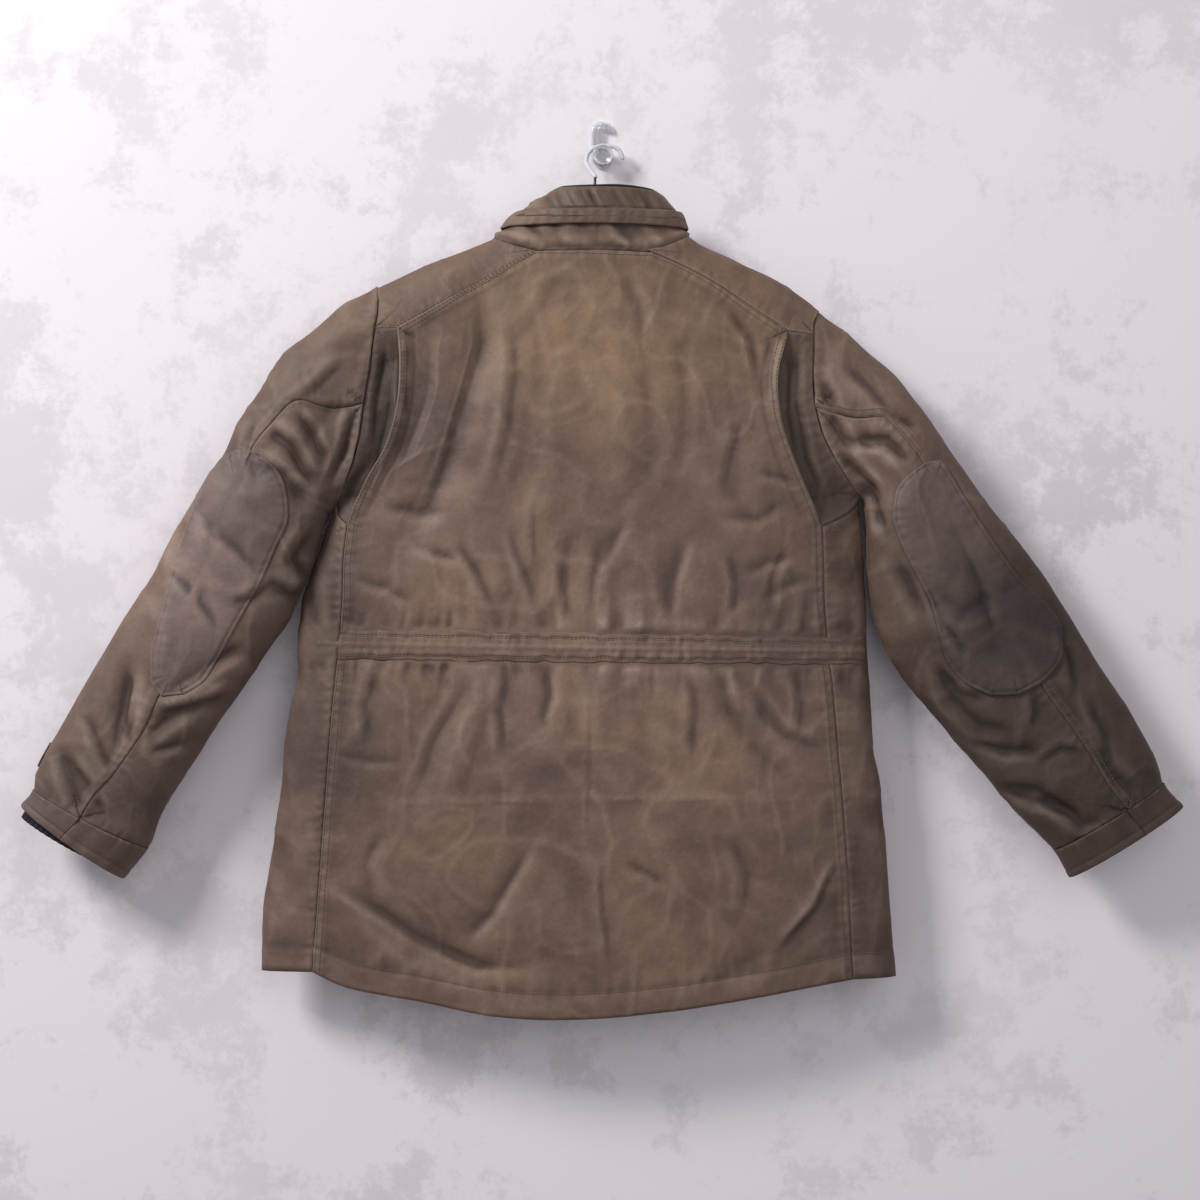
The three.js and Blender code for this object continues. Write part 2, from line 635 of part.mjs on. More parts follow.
// Pleat gussets, the cloth between the armhole and the back panel's folded edge, tucked under it
function pleatGusset(side) {
  const armhole = reversed(armholeHalf(side, onBack).slice(armholeYokeSteps));
  const edge = pleatEdge[side];
  const inward = side === 'left' ? 1 : -1;
  const sampleAt = (i, j) => {
    const share = i / gussetColumns;
    const sewn = j === 0 || j === pleatSteps;
    const tuck = sewn ? 0 : pleatTuck * Math.sin(Math.PI * (j - 1) / (pleatSteps - 2));
    const bodyWidth = bodyAt('right', edge[j].z) - bodyAt('left', edge[j].z);
    const under = edge[j].around + inward * tuck / bodyWidth * 2 / Math.PI;
    const place = { around: mix(armhole[j].around, under, share), z: mix(armhole[j].z, edge[j].z, share) };
    return { ...bodySample(place), lift: sewn ? 0 : -pleatDepth * ease(share / 0.6) };
  };
  return clothWall(gussetColumns, pleatSteps, sampleAt, clothThickness);
}

// Waist casing with its gathers, on the back panel and round into the sides
function waistCasing() {
  const columns = gatherCount * 2;
  const rows = 2;
  const sampleAt = (i, j) => {
    const x = mix(casingEnds.left, casingEnds.right, i / columns);
    const top = mix(casingTopZ.left, casingTopZ.right, i / columns);
    const bottom = mix(casingBottomZ.left, casingBottomZ.right, i / columns);
    const z = mix(bottom, top, j / rows);
    const wave = (i % 2) * gatherHeight;
    return { ...bodySample(onBack({ x, z })), lift: layerGap + clothThickness + wave };
  };
  return clothWall(columns, rows, sampleAt, clothThickness);
}

// Front fly over the closing, and its press studs
function flySample(share, z, lift) {
  const around = 1 + mix(-flyHalfTurn, flyHalfTurn, share);
  return { ...bodySample({ around, z }), lift };
}

function frontFly() {
  const columns = 4;
  const rows = 12;
  const lift = layerGap + clothThickness;
  const sampleAt = (i, j) => flySample(i / columns, mix(frontHemZ, frontNeckDrop - 12, j / rows), lift);
  return clothWall(columns, rows, sampleAt, clothThickness);
}

function standOn(sample, lift, geometry) {
  const turn = new THREE.Quaternion().setFromUnitVectors(new THREE.Vector3(0, 1, 0), sample.normal);
  geometry.applyQuaternion(turn);
  const place = sample.point.clone().addScaledVector(sample.normal, lift);
  geometry.translate(place.x, place.y, place.z);
  return geometry;
}

// Sleeves: ring is counted along the table's rows, and round goes from 0 on the outer edge
// by the back to 1 on the inner edge and on by the front to 2.

function makeSleeve(side) {
  const rows = sleeveRows[side];
  const ringAt = tableReader(rows, (row) => rows.indexOf(row));
  const plainPoint = (ring, round) => {
    const outerX = ringAt('outerX', ring);
    const outerZ = ringAt('outerZ', ring);
    const innerX = ringAt('innerX', ring);
    const innerZ = ringAt('innerZ', ring);
    const across = (1 + Math.cos(Math.PI * round)) / 2;
    const facing = Math.sin(Math.PI * round);
    const x = mix(innerX, outerX, across);
    const z = mix(innerZ, outerZ, across);
    const middle = mix(bodyMiddleY, sleeveMiddleY, ease(ring / 3));
    const push = foldDepth(x, z, sleeveFolds[side]) * Math.min(Math.abs(facing) * 1.6, 1);
    const give = facing > 0 ? push : -push * 0.5;
    return new THREE.Vector3(x, middle - ringAt('depth', ring) * facing + give, z);
  };
  const outward = side === 'left' ? -1 : 1;
  const back = armholeHalf(side, onBack).map((place) => bodyPoint(place.around, place.z));
  const front = armholeHalf(side, onFront(side)).map((place) => bodyPoint(place.around, place.z));
  const loop = [...back, ...reversed(front).slice(1, -1)];
  loop.forEach((place, i) => {
    place.x += outward * (i < back.length ? armholeEase : frontArmholeEase);
  });
  const gone = [0];
  for (let i = 1; i < back.length; i += 1) gone.push(gone[i - 1] + back[i].distanceTo(back[i - 1]));
  const rounds = gone.map((length) => Math.acos(1 - 2 * length / gone[gone.length - 1]) / Math.PI);
  const loopRounds = [...rounds, ...reversed(rounds).slice(1, -1).map((round) => 2 - round)];
  const loopPoint = (round) => {
    const place = ((round % 2) + 2) % 2;
    let i = 0;
    while (i < loop.length - 1 && place > loopRounds[i + 1]) i += 1;
    const next = (i + 1) % loop.length;
    const nextRound = next === 0 ? 2 : loopRounds[next];
    const share = (place - loopRounds[i]) / (nextRound - loopRounds[i]);
    return loop[i].clone().lerp(loop[next], share);
  };
  const armholeReach = 3.5;
  const point = (round, ring) => {
    const plain = plainPoint(ring, round);
    const fade = (1 - Math.min(Math.max(ring, 0) / armholeReach, 1)) ** 2;
    if (fade === 0) return plain;
    return plain.addScaledVector(loopPoint(round).sub(plainPoint(0, round)), fade);
  };
  const sample = (round, ring) => {
    const roundStep = 0.01;
    const ringStep = 0.1;
    const acrossRound = point(round + roundStep, ring).sub(point(round - roundStep, ring));
    const alongSleeve = point(round, ring + ringStep).sub(point(round, Math.max(ring - ringStep, 0)));
    const normal = acrossRound.cross(alongSleeve).multiplyScalar(outward).normalize();
    return { point: point(round, ring), normal };
  };
  const ringThrough = (x, z) => {
    let low = 0;
    let high = rows.length - 1;
    const sign = (ring) => {
      const outerX = ringAt('outerX', ring);
      const outerZ = ringAt('outerZ', ring);
      const runX = ringAt('innerX', ring) - outerX;
      const runZ = ringAt('innerZ', ring) - outerZ;
      return Math.sign(runX * (z - outerZ) - runZ * (x - outerX));
    };
    const start = sign(0);
    for (let i = 0; i < 40; i += 1) {
      const middle = (low + high) / 2;
      if (sign(middle) === start) low = middle;
      else high = middle;
    }
    return low;
  };
  const onSleeve = (x, z) => {
    const ring = ringThrough(x, z);
    const runX = ringAt('innerX', ring) - ringAt('outerX', ring);
    const runZ = ringAt('innerZ', ring) - ringAt('outerZ', ring);
    const run = (x - ringAt('outerX', ring)) * runX + (z - ringAt('outerZ', ring)) * runZ;
    const share = Math.min(Math.max(run / (runX * runX + runZ * runZ), 0), 1);
    return { ring, round: Math.acos(1 - 2 * share) / Math.PI };
  };
  return { rows, ringAt, loopRounds, sample, onSleeve, cuffSeam: rows.length - 3, cuffEnd: rows.length - 2 };
}

const sleeves = { left: makeSleeve('left'), right: makeSleeve('right') };

// Columns of the sleeve are counted round the armhole's places: the hind seam starts at one of
// them and the front seam at another.
const armpitColumn = armholeYokeSteps + pleatSteps;
const loopCount = armpitColumn * 2;
const hindColumn = 5;
const frontColumn = armpitColumn + 4;
const frontSeamRound = 1.3;
const sleeveSteps = 15;

function columnRound(sleeve, column, ring) {
  const hind = sleeve.ringAt('hind', ring);
  const start = sleeve.loopRounds[column % loopCount] + (column >= loopCount ? 2 : 0);
  const under = column <= frontColumn;
  const target = under
    ? mix(hind, frontSeamRound, (column - hindColumn) / (frontColumn - hindColumn))
    : mix(frontSeamRound, hind + 2, (column - frontColumn) / (loopCount + hindColumn - frontColumn));
  return mix(start, target, ease(ring / 3));
}

function sleevePanel(side, fromColumn, toColumn) {
  const sleeve = sleeves[side];
  const sampleAt = (i, j) => {
    const ring = sleeve.cuffSeam * (j / sleeveSteps);
    return sleeve.sample(columnRound(sleeve, fromColumn + i, ring), ring);
  };
  return clothWall(toColumn - fromColumn, sleeveSteps, sampleAt, clothThickness);
}

// The under sleeve is trimmed where it would touch the front beside the armpit.
function underSleeve(side) {
  const front = frontPanel(side, clothThickness + 2 * cutClearance, cutClearance);
  const trimmed = cutAway(sleevePanel(side, hindColumn, frontColumn), front);
  return cutAway(trimmed, frontPanel(side));
}

// The whole sleeve as a thick wall, to shape what lies on it
function sleeveCore(side) {
  const sleeve = sleeves[side];
  const sampleAt = (i, j) => {
    const ring = sleeve.cuffSeam * (j / sleeveSteps);
    return { ...sleeve.sample(columnRound(sleeve, hindColumn + i, ring), ring), lift: cutClearance };
  };
  return clothWall(loopCount, sleeveSteps, sampleAt, 3 * clothThickness, { wrap: true });
}

function cuffBand(side) {
  const sleeve = sleeves[side];
  const sampleAt = (i, j) => {
    const ring = mix(sleeve.cuffSeam, sleeve.cuffEnd, j);
    return sleeve.sample(columnRound(sleeve, hindColumn + i, ring), ring);
  };
  return clothWall(loopCount, 1, sampleAt, clothThickness, { wrap: true });
}

// Knitted cuff inside the sleeve, sewn in at its upper end. On the left it slips out at the outer edge.
const knitEnds = { left: { outer: 0.5, inner: -0.35 }, right: { outer: -0.15, inner: -0.15 } };

function stormCuff(side) {
  const sleeve = sleeves[side];
  const rows = 4;
  const { outer, inner } = knitEnds[side];
  const sampleAt = (i, j) => {
    const round = columnRound(sleeve, hindColumn + i, sleeve.cuffEnd);
    const end = mix(inner, outer, (1 + Math.cos(Math.PI * round)) / 2);
    const ring = mix(sleeve.cuffSeam - 0.5, sleeve.cuffEnd + end, j / rows);
    const lift = j === 0 ? -(clothThickness + layerGap) : -(clothThickness + 5.8);
    return { ...sleeve.sample(columnRound(sleeve, hindColumn + i, ring), ring), lift };
  };
  return clothWall(loopCount, rows, sampleAt, 2, { wrap: true });
}

// A place on the sleeve's flat faces, between the corners of its own grid, with a smooth normal.
function onSleeveFaces(side, round, ring) {
  const sleeve = sleeves[side];
  const rowPlace = Math.min(ring / sleeve.cuffSeam * sleeveSteps, sleeveSteps - 1e-6);
  const j = Math.floor(rowPlace);
  const underCount = frontColumn - hindColumn;
  const hind = columnRound(sleeve, hindColumn, ring);
  const wanted = round < hind ? round + 2 : round;
  let column = round < hind ? frontColumn : hindColumn;
  const end = column + (round < hind ? loopCount - underCount : underCount) - 1;
  while (column < end && columnRound(sleeve, column + 1, ring) < wanted) column += 1;
  const near = columnRound(sleeve, column, ring);
  const far = columnRound(sleeve, column + 1, ring);
  const across = Math.min(Math.max((wanted - near) / (far - near), 0), 1);
  const corner = (i, row) => {
    const cornerRing = sleeve.cuffSeam * row / sleeveSteps;
    return sleeve.sample(columnRound(sleeve, i, cornerRing), cornerRing).point;
  };
  const up = rowPlace - j;
  const first = corner(column, j);
  const last = corner(column + 1, j + 1);
  const below = across > up;
  const third = below ? corner(column + 1, j) : corner(column, j + 1);
  const [toThird, toLast] = below ? [across, up] : [up, across];
  const point = first.clone().addScaledVector(third.clone().sub(first), toThird);
  point.addScaledVector(last.sub(third), toLast);
  return { point, normal: sleeve.sample(round, ring).normal };
}

function elbowPatch(side) {
  const sleeve = sleeves[side];
  const table = patchRows[side];
  const columns = 8;
  const sampleAt = (i, j) => {
    const row = table[j];
    const from = sleeve.onSleeve(row.fromX, row.fromZ);
    const to = sleeve.onSleeve(row.toX, row.toZ);
    const ring = mix(from.ring, to.ring, i / columns);
    const round = mix(from.round, to.round, i / columns);
    return { ...onSleeveFaces(side, round, ring), lift: patchGap + patchThickness };
  };
  const patch = clothWall(columns, table.length - 1, sampleAt, patchThickness + patchGap / 2);
  return cutAway(patch, sleeveCore(side));
}

// Small strap round the outer edge of the left sleeve, above the cuff, with its stud
const tabPlace = { fromRound: -0.3, toRound: -0.02, fromRing: 13.1, toRing: 13.9 };

function cuffTab() {
  const sampleAt = (i, j) => {
    const round = mix(tabPlace.fromRound, tabPlace.toRound, i / 4);
    const ring = mix(tabPlace.fromRing, tabPlace.toRing, j / 2);
    return { ...sleeves.left.sample(round, ring), lift: layerGap + clothThickness };
  };
  return clothWall(4, 2, sampleAt, clothThickness);
}

// Collar: a band from the neck seam to its top edge. share runs up the rows of the table.

const neckLeft = neckSide('left');
const neckRight = neckSide('right');
const neckRing = joined(
  reversed(frontNeck('left')),
  reversed(neckLeft.front),
  reversed(neckLeft.back),
  neckBack,
  neckRight.back,
  neckRight.front,
  frontNeck('right'),
);
const neckPoints = neckRing.map((place) => bodyPoint(place.around, place.z));
const neckLeftX = bodyAt('left', neckLeft.front[0].z);
const neckRightX = bodyAt('right', neckRight.front[0].z);
const neckTurns = neckPoints.map((point) => {
  const across = (point.x - (neckLeftX + neckRightX) / 2) / ((neckRightX - neckLeftX) / 2);
  const facing = (bodyMiddleY - point.y) / collarRows[0].front;
  return Math.atan2(across, facing) / Math.PI;
});
neckTurns[0] = -1;
neckTurns[neckTurns.length - 1] = 1;
const collarAt = tableReader(collarRows, (row) => collarRows.indexOf(row));

function collarPoint(column, share) {
  const turn = neckTurns[column] * Math.PI;
  const row = Math.max(share - 1, 0);
  const sine = Math.sin(turn);
  const cosine = Math.cos(turn);
  const leftX = collarAt('leftX', row);
  const rightX = collarAt('rightX', row);
  const sideZ = sine < 0 ? collarAt('leftZ', row) : collarAt('rightZ', row);
  const middleZ = cosine > 0 ? collarAt('backZ', row) : collarAt('frontZ', row);
  const depth = cosine > 0 ? collarAt('back', row) : collarAt('front', row);
  const x = (leftX + rightX) / 2 + (rightX - leftX) / 2 * sine;
  const z = mix(middleZ, sideZ, sine * sine);
  const above = new THREE.Vector3(x, bodyMiddleY - depth * cosine, z);
  if (share >= 1) return above;
  return neckPoints[column].clone().lerp(above, share);
}

function collarSample(column, share) {
  const before = Math.max(column - 1, 0);
  const after = Math.min(column + 1, neckTurns.length - 1);
  const along = collarPoint(after, share).sub(collarPoint(before, share));
  const lower = collarPoint(column, Math.max(share - 0.3, 0));
  const up = collarPoint(column, Math.min(share + 0.3, collarRows.length)).sub(lower);
  const normal = along.cross(up).normalize();
  return { point: collarPoint(column, share), normal, up: up.normalize() };
}

function collarBand(from, to, rows, lift, thickness) {
  const sampleAt = (i, j) => ({ ...collarSample(i, mix(from, to, j / rows)), lift });
  return clothWall(neckTurns.length - 1, rows, sampleAt, thickness);
}

// A rod with a round section through a list of points, closed at both ends.
function rod(points, radius, sides) {
  const rings = [];
  for (let i = 0; i < points.length; i += 1) {
    const before = points[Math.max(i - 1, 0)];
    const after = points[Math.min(i + 1, points.length - 1)];
    const along = after.clone().sub(before).normalize();
    const side = new THREE.Vector3(0, 1, 0).cross(along).normalize();
    const other = along.clone().cross(side);
    const size = typeof radius === 'function' ? radius(i / (points.length - 1)) : radius;
    for (let k = 0; k < sides; k += 1) {
      const angle = 2 * Math.PI * k / sides;
      const offset = side.clone().multiplyScalar(Math.cos(angle)).addScaledVector(other, Math.sin(angle));
      rings.push(points[i].clone().addScaledVector(offset, size));
    }
  }
  const faces = [];
  for (let i = 0; i < points.length - 1; i += 1) {
    for (let k = 0; k < sides; k += 1) {
      const a = i * sides + k;
      const b = i * sides + (k + 1) % sides;
      faces.push(a, b, b + sides, a, b + sides, a + sides);
    }
  }
  const lastRing = (points.length - 1) * sides;
  for (let k = 1; k < sides - 1; k += 1) {
    faces.push(0, k + 1, k);
    faces.push(lastRing, lastRing + k, lastRing + k + 1);
  }
  return closedGeometry(rings, faces);
}

function collarPiping() {
  const points = neckTurns.map((unused, i) => {
    const { point, normal, up } = collarSample(i, collarRows.length);
    point.addScaledVector(normal, -collarThickness / 2);
    return point.addScaledVector(up, layerGap + pipingRadius);
  });
  points[0].x -= seamGap;
  points[points.length - 1].x += seamGap;
  return rod(points, pipingRadius, 6);
}

// Hanger: a dark bar that follows the shoulders from inside, with its neck in the collar
const hangerRadius = 7;
const hangerClearance = 3.4;
const hangerNeck = { x: -8, z: -66, halfWidth: 17 };
const hangerReach = { left: -216, right: 178 };
const hangerRise = [
  { share: 0.35, z: -141 },
  { share: 0.68, z: -128 },
  { share: 0.88, z: -106 },
  { share: 1, z: -80 },
];

function shoulderZ(x) {
  const side = x < 0 ? 'left' : 'right';
  let high = -115;
  let low = -215;
  for (let i = 0; i < 40; i += 1) {
    const middle = (low + high) / 2;
    if (Math.abs(bodyAt(side, middle)) > Math.abs(x)) low = middle;
    else high = middle;
  }
  return low;
}

function hangerArm(side) {
  const reach = hangerReach[side];
  const neckX = hangerNeck.x + (side === 'left' ? -1 : 1) * hangerNeck.halfWidth;
  const shoulderStart = side === 'left' ? -130 : 108;
  const points = [];
  const armSteps = 7;
  for (let i = 0; i <= armSteps; i += 1) {
    const x = mix(reach, shoulderStart, i / armSteps);
    const slope = (shoulderZ(x + 2) - shoulderZ(x - 2)) / 4;
    const drop = clothThickness + hangerClearance + hangerRadius;
    const length = Math.hypot(1, slope);
    points.push(new THREE.Vector3(x + drop * slope / length, bodyMiddleY, shoulderZ(x) - drop / length));
  }
  for (const { share, z } of hangerRise) {
    points.push(new THREE.Vector3(mix(shoulderStart, neckX, share), bodyMiddleY, z));
  }
  return points;
}

function hangerBody() {
  const left = hangerArm('left');
  const right = reversed(hangerArm('right'));
  const top = new THREE.Vector3(hangerNeck.x, bodyMiddleY, hangerNeck.z);
  return rod([...left, top, ...right], hangerRadius, 10);
}

// Hook wire of the hanger and its clear sleeve, over the peg of the wall hook
const pegPlace = { x: 0.5, z: -23.1 };
const pegRadius = 8.4;
const wireRadius = 1.5;
const wireSleeveRadius = 2.3;
const wirePlaces = [
  { x: 21.5, y: -14, z: -25 },
  { x: 18.5, y: -14, z: -18 },
  { x: 10.5, y: -14, z: -12.8 },
  { x: 0.5, y: -14, z: -12.1 },
  { x: -9.5, y: -15, z: -15.4 },
  { x: -15.8, y: -18, z: -22.5 },
  { x: -17.3, y: -23, z: -31 },
  { x: -13, y: -31, z: -41 },
  { x: -7.6, y: -37, z: -49.4 },
];
const wireFoot = [
  { x: -7.6, y: -37.6, z: -50.4 },
  { x: -7.9, y: -41, z: -54 },
  { x: hangerNeck.x, y: bodyMiddleY, z: hangerNeck.z + hangerRadius + 0.3 },
];

function smoothPath(places, steps) {
  const points = places.map(({ x, y, z }) => new THREE.Vector3(x, y, z));
  return new THREE.CatmullRomCurve3(points, false, 'centripetal').getSpacedPoints(steps);
}

// Clear wall hook: a plate with round ends on the wall, and a peg with a lip
const plateWidth = 24;
const plateTop = 16;
const plateBottom = -34;
const plateThickness = 3;
const pegLength = 19;
const pegLip = 2.4;

function hookPlate() {
  const radius = plateWidth / 2;
  const shape = new THREE.Shape();
  shape.absarc(0, plateTop - radius, radius, 0, Math.PI, false);
  shape.absarc(0, plateBottom + radius, radius, Math.PI, 2 * Math.PI, false);
  shape.closePath();
  const plate = new THREE.ExtrudeGeometry(shape, { depth: plateThickness, bevelEnabled: false, curveSegments: 10 });
  plate.rotateX(Math.PI / 2);
  return plate;
}

function hookPeg() {
  const start = plateThickness + 0.3;
  const profile = [
    new THREE.Vector2(0, start),
    new THREE.Vector2(pegRadius, start),
    new THREE.Vector2(pegRadius - 0.6, start + pegLength - 4),
    new THREE.Vector2(pegRadius + pegLip, start + pegLength - 2),
    new THREE.Vector2(pegRadius + pegLip, start + pegLength),
    new THREE.Vector2(0, start + pegLength),
  ];
  const peg = new THREE.LatheGeometry(profile, 20);
  peg.rotateX(Math.PI);
  peg.translate(pegPlace.x, 0, pegPlace.z);
  return peg;
}

// Cloth pieces
addPiece('back_panel', backPanel(), colours.waxedCotton);
addPiece('waist_casing', waistCasing(), colours.waxedCotton);
for (const side of ['left', 'right']) {
  addPiece(`pleat_gusset_${side}`, pleatGusset(side), colours.waxedCotton);
  addPiece(`yoke_${side}`, yokePanel(side), colours.waxedCotton);
  addPiece(`front_${side}`, frontPanel(side), colours.waxedCotton);
  addPiece(`top_sleeve_${side}`, sleevePanel(side, frontColumn, loopCount + hindColumn), colours.waxedCotton);
  addPiece(`under_sleeve_${side}`, underSleeve(side), colours.waxedCotton);
  addPiece(`cuff_band_${side}`, cuffBand(side), colours.waxedCotton);
  addPiece(`knit_cuff_${side}`, stormCuff(side), colours.knit);
  addPiece(`elbow_patch_${side}`, elbowPatch(side), colours.patchCloth);
}
addPiece('front_fly', frontFly(), colours.waxedCotton);
addPiece('collar', collarBand(0.06, 4, 4, 0, collarThickness), colours.waxedCotton);
const weltLift = 1.6 * layerGap + clothThickness;
addPiece('collar_welt', collarBand(1, 2, 1, weltLift, clothThickness), colours.waxedCotton);
const liningLift = -collarThickness - layerGap;
addPiece('collar_lining', collarBand(1, 4, 3, liningLift, clothThickness), colours.darkCloth);
addPiece('collar_piping', collarPiping(), colours.darkCloth);

// Studs and the cuff tab
for (let i = 0; i < flyStudCount; i += 1) {
  const z = mix(frontHemZ + 60, frontNeckDrop - 40, i / (flyStudCount - 1));
  const lift = 1.4 * layerGap + clothThickness + studHeight / 2;
  const disc = new THREE.CylinderGeometry(studRadius - 1.5, studRadius, studHeight, 12);
  addPiece(`fly_stud_${i + 1}`, standOn(flySample(0.5, z, 0), lift, disc), colours.stud);
}
addPiece('cuff_tab', cuffTab(), colours.waxedCotton);
const tabSample = sleeves.left.sample(tabPlace.toRound - 0.07, (tabPlace.fromRing + tabPlace.toRing) / 2);
const tabLift = 2 * layerGap + clothThickness + studHeight / 2;
const tabDisc = new THREE.CylinderGeometry(3.5, 4.5, studHeight, 12);
addPiece('cuff_tab_stud', standOn(tabSample, tabLift, tabDisc), colours.stud);

// Hanger and wall hook
addPiece('hanger', hangerBody(), colours.hanger);
addPiece('hanger_hook', rod(smoothPath(wireFoot, 6), wireRadius, 10), colours.wire);
addPiece('hook_sleeve', rod(smoothPath(wirePlaces, 30), wireSleeveRadius, 10), colours.clear);
addPiece('wall_hook_plate', hookPlate(), colours.clear);
addPiece('wall_hook_peg', hookPeg(), colours.clear);

export default jacket;
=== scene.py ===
"""Looks of a waxed cotton field jacket that hangs from a hanger on a clear wall hook."""

import math

import bmesh
import bpy
import numpy as np
from bpy.props import FloatProperty, FloatVectorProperty, IntProperty, PointerProperty
from mathutils import Matrix, Vector


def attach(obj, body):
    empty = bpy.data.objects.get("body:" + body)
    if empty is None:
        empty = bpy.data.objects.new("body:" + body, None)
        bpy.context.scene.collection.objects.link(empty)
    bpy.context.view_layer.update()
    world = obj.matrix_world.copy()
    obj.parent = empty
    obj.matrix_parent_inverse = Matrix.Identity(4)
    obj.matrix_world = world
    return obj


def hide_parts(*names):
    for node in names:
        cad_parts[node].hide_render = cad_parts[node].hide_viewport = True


bl_info = {
    "name": "Waxed Jacket Looks",
    "version": (1, 0, 0),
    "blender": (4, 5, 0),
    "location": "3D View > Sidebar > Jacket",
    "description": "Builds the cloth, stitching and hook of a waxed cotton jacket",
    "category": "Add Mesh",
}

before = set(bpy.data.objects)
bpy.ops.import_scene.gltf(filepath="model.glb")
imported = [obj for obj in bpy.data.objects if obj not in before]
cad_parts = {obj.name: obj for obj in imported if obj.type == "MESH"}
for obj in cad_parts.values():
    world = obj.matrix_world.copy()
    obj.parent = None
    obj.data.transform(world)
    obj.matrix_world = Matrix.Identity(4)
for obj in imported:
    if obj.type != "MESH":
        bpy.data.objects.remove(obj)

# All sizes below are in millimetres, as in the part's own source, and MM turns them into metres.
MM = 0.001
BODY_MIDDLE_Y = -42
SLEEVE_MIDDLE_Y = -50
ROUNDNESS = 0.88
FRONT_NECK_Z = -211
FRONT_HEM_Z = -886
YOKE_SEAM_Z = -132
COLLAR_CENTRE_X = -5
ARMHOLE_EASE = 0.2
PLEAT_TOP_Z = -214
PLEAT_FOOT_Z = -418
PLEAT_TUCK = 17
PLEAT_DEPTH = 2.8
GUSSET_DEEPER = 2.6
FLY_HALF_TURN = 0.028
FLY_STUDS = 6
LAYER_GAP = 0.8
CLOTH = 1.6
COLLAR_CLOTH = 2.2
PATCH_CLOTH = 1.2

# Waist casing: x of its ends, then z of its top and bottom edge at the left and the right end.
CASING_LEFT = -297
CASING_RIGHT = 274
CASING_TOP = (-524, -534)
CASING_BOTTOM = (-556, -562)
CASING_REACH = 15

# Columns of a sleeve: the hind seam, the fore seam, and the hind seam again after once round.
HIND_SEAM = 5
FORE_SEAM = 14
HIND_AGAIN = 25

# Cuff tab: its rings on the left sleeve, its way round, and the place of its stud.
TAB_RINGS = (13.1, 13.9)
TAB_ROUND = (-0.3, -0.02)
TAB_STUD = (13.5, -0.09)

# How far in from an edge its rows of stitches and folded edges run.
HEM_FOLD = 26
HEM_ROW = 27
PATCH_ROW = 3.2
TAB_ROW = 2.0
SEAM_ROW = 2.2
STITCH_RADIUS = 0.42

# Round parts.
FLY_STUD_RADIUS = 6.8
TAB_STUD_RADIUS = 5
PIPING_RADIUS = 1.3
HANGER_RADIUS = 6.9
WIRE_RADIUS = 1.5
WIRE_SLEEVE_RADIUS = 2.3

# Outline of the body at each height: x of both sides, depth behind and before its middle.
BODY = {
    "z": (-931, -883, -834, -744, -686, -648, -600, -583, -537, -495, -474, -453,
          -426, -395, -363, -327, -285, -243, -213, -184, -167, -147, -127, -115),
    "left": (-358, -355, -354, -342, -334, -332, -325, -319, -318, -315, -307, -299,
             -291, -279, -301, -318, -324, -316, -297, -265, -235, -194, -142, -113),
    "right": (311, 307, 303, 297, 291, 283, 281, 280, 277, 276, 275, 274,
              271, 269, 279, 287, 285, 268, 245, 216, 192, 154, 110, 90),
    "back": (35, 37, 39, 40, 39, 39, 37, 36, 34, 38, 39, 40,
             40, 41, 41, 41, 40, 38, 37, 35, 33, 31, 28, 25),
    "front": (26, 27, 28, 28, 28, 28, 27, 27, 26, 27, 28, 28,
              28, 28, 28, 28, 27, 26, 25, 24, 23, 22, 21, 20),
}

# Places of the seams on the back, as x and z.
SEAMS = {
    "side_left": ((-302, -881), (-292, -744), (-282, -612), (-271, -495), (-270, -453), (-266, -416)),
    "side_right": ((260, -889), (252, -744), (240, -598), (230, -495), (229, -450), (228, -418)),
    "pleat_left": ((-266, -416), (-245, -370), (-225, -335), (-213, -293), (-210, -245), (-213, -212)),
    "pleat_right": ((228, -418), (205, -365), (193, -335), (184, -303), (182, -260), (193, -215)),
    "yoke_left": ((-213, -212), (-139, -171), (-65, -130)),
    "yoke_right": ((46, -131), (81, -146), (122, -168), (156, -191), (193, -215)),
    "neck_back": ((-65, -130), (-4, -129), (46, -131)),
    "neck_side_left": ((-65, -130), (-92, -123), (-113, -115)),
    "neck_side_right": ((46, -131), (71, -125), (90, -115)),
    "hem": ((-302, -881), (-268, -896), (-190, -910), (-115, -925), (-42, -929), (73, -920), (260, -889)),
}

# Places of the armholes from the yoke down to the armpit, and of the front's upper edges.
ARMHOLES = {
    "left": {"yoke": ((-235, -167), (-233, -190), (-237, -212)),
             "side": ((-237, -212), (-240, -243), (-247, -285), (-257, -344), (-279, -395))},
    "right": {"yoke": ((227, -192), (220, -205), (219, -218)),
              "side": ((219, -218), (218, -250), (219, -285), (228, -322), (245, -354), (269, -388))},
}
FRONT_NECK = {
    "left": ((-107, -135), (-88, -168), (-52, -200), (-6, -211)),
    "right": ((86, -135), (70, -168), (38, -200), (-6, -211)),
}
FRONT_YOKE = {
    "left": ((-107, -135), (-170, -168), (-237, -212)),
    "right": ((86, -135), (150, -172), (219, -218)),
}

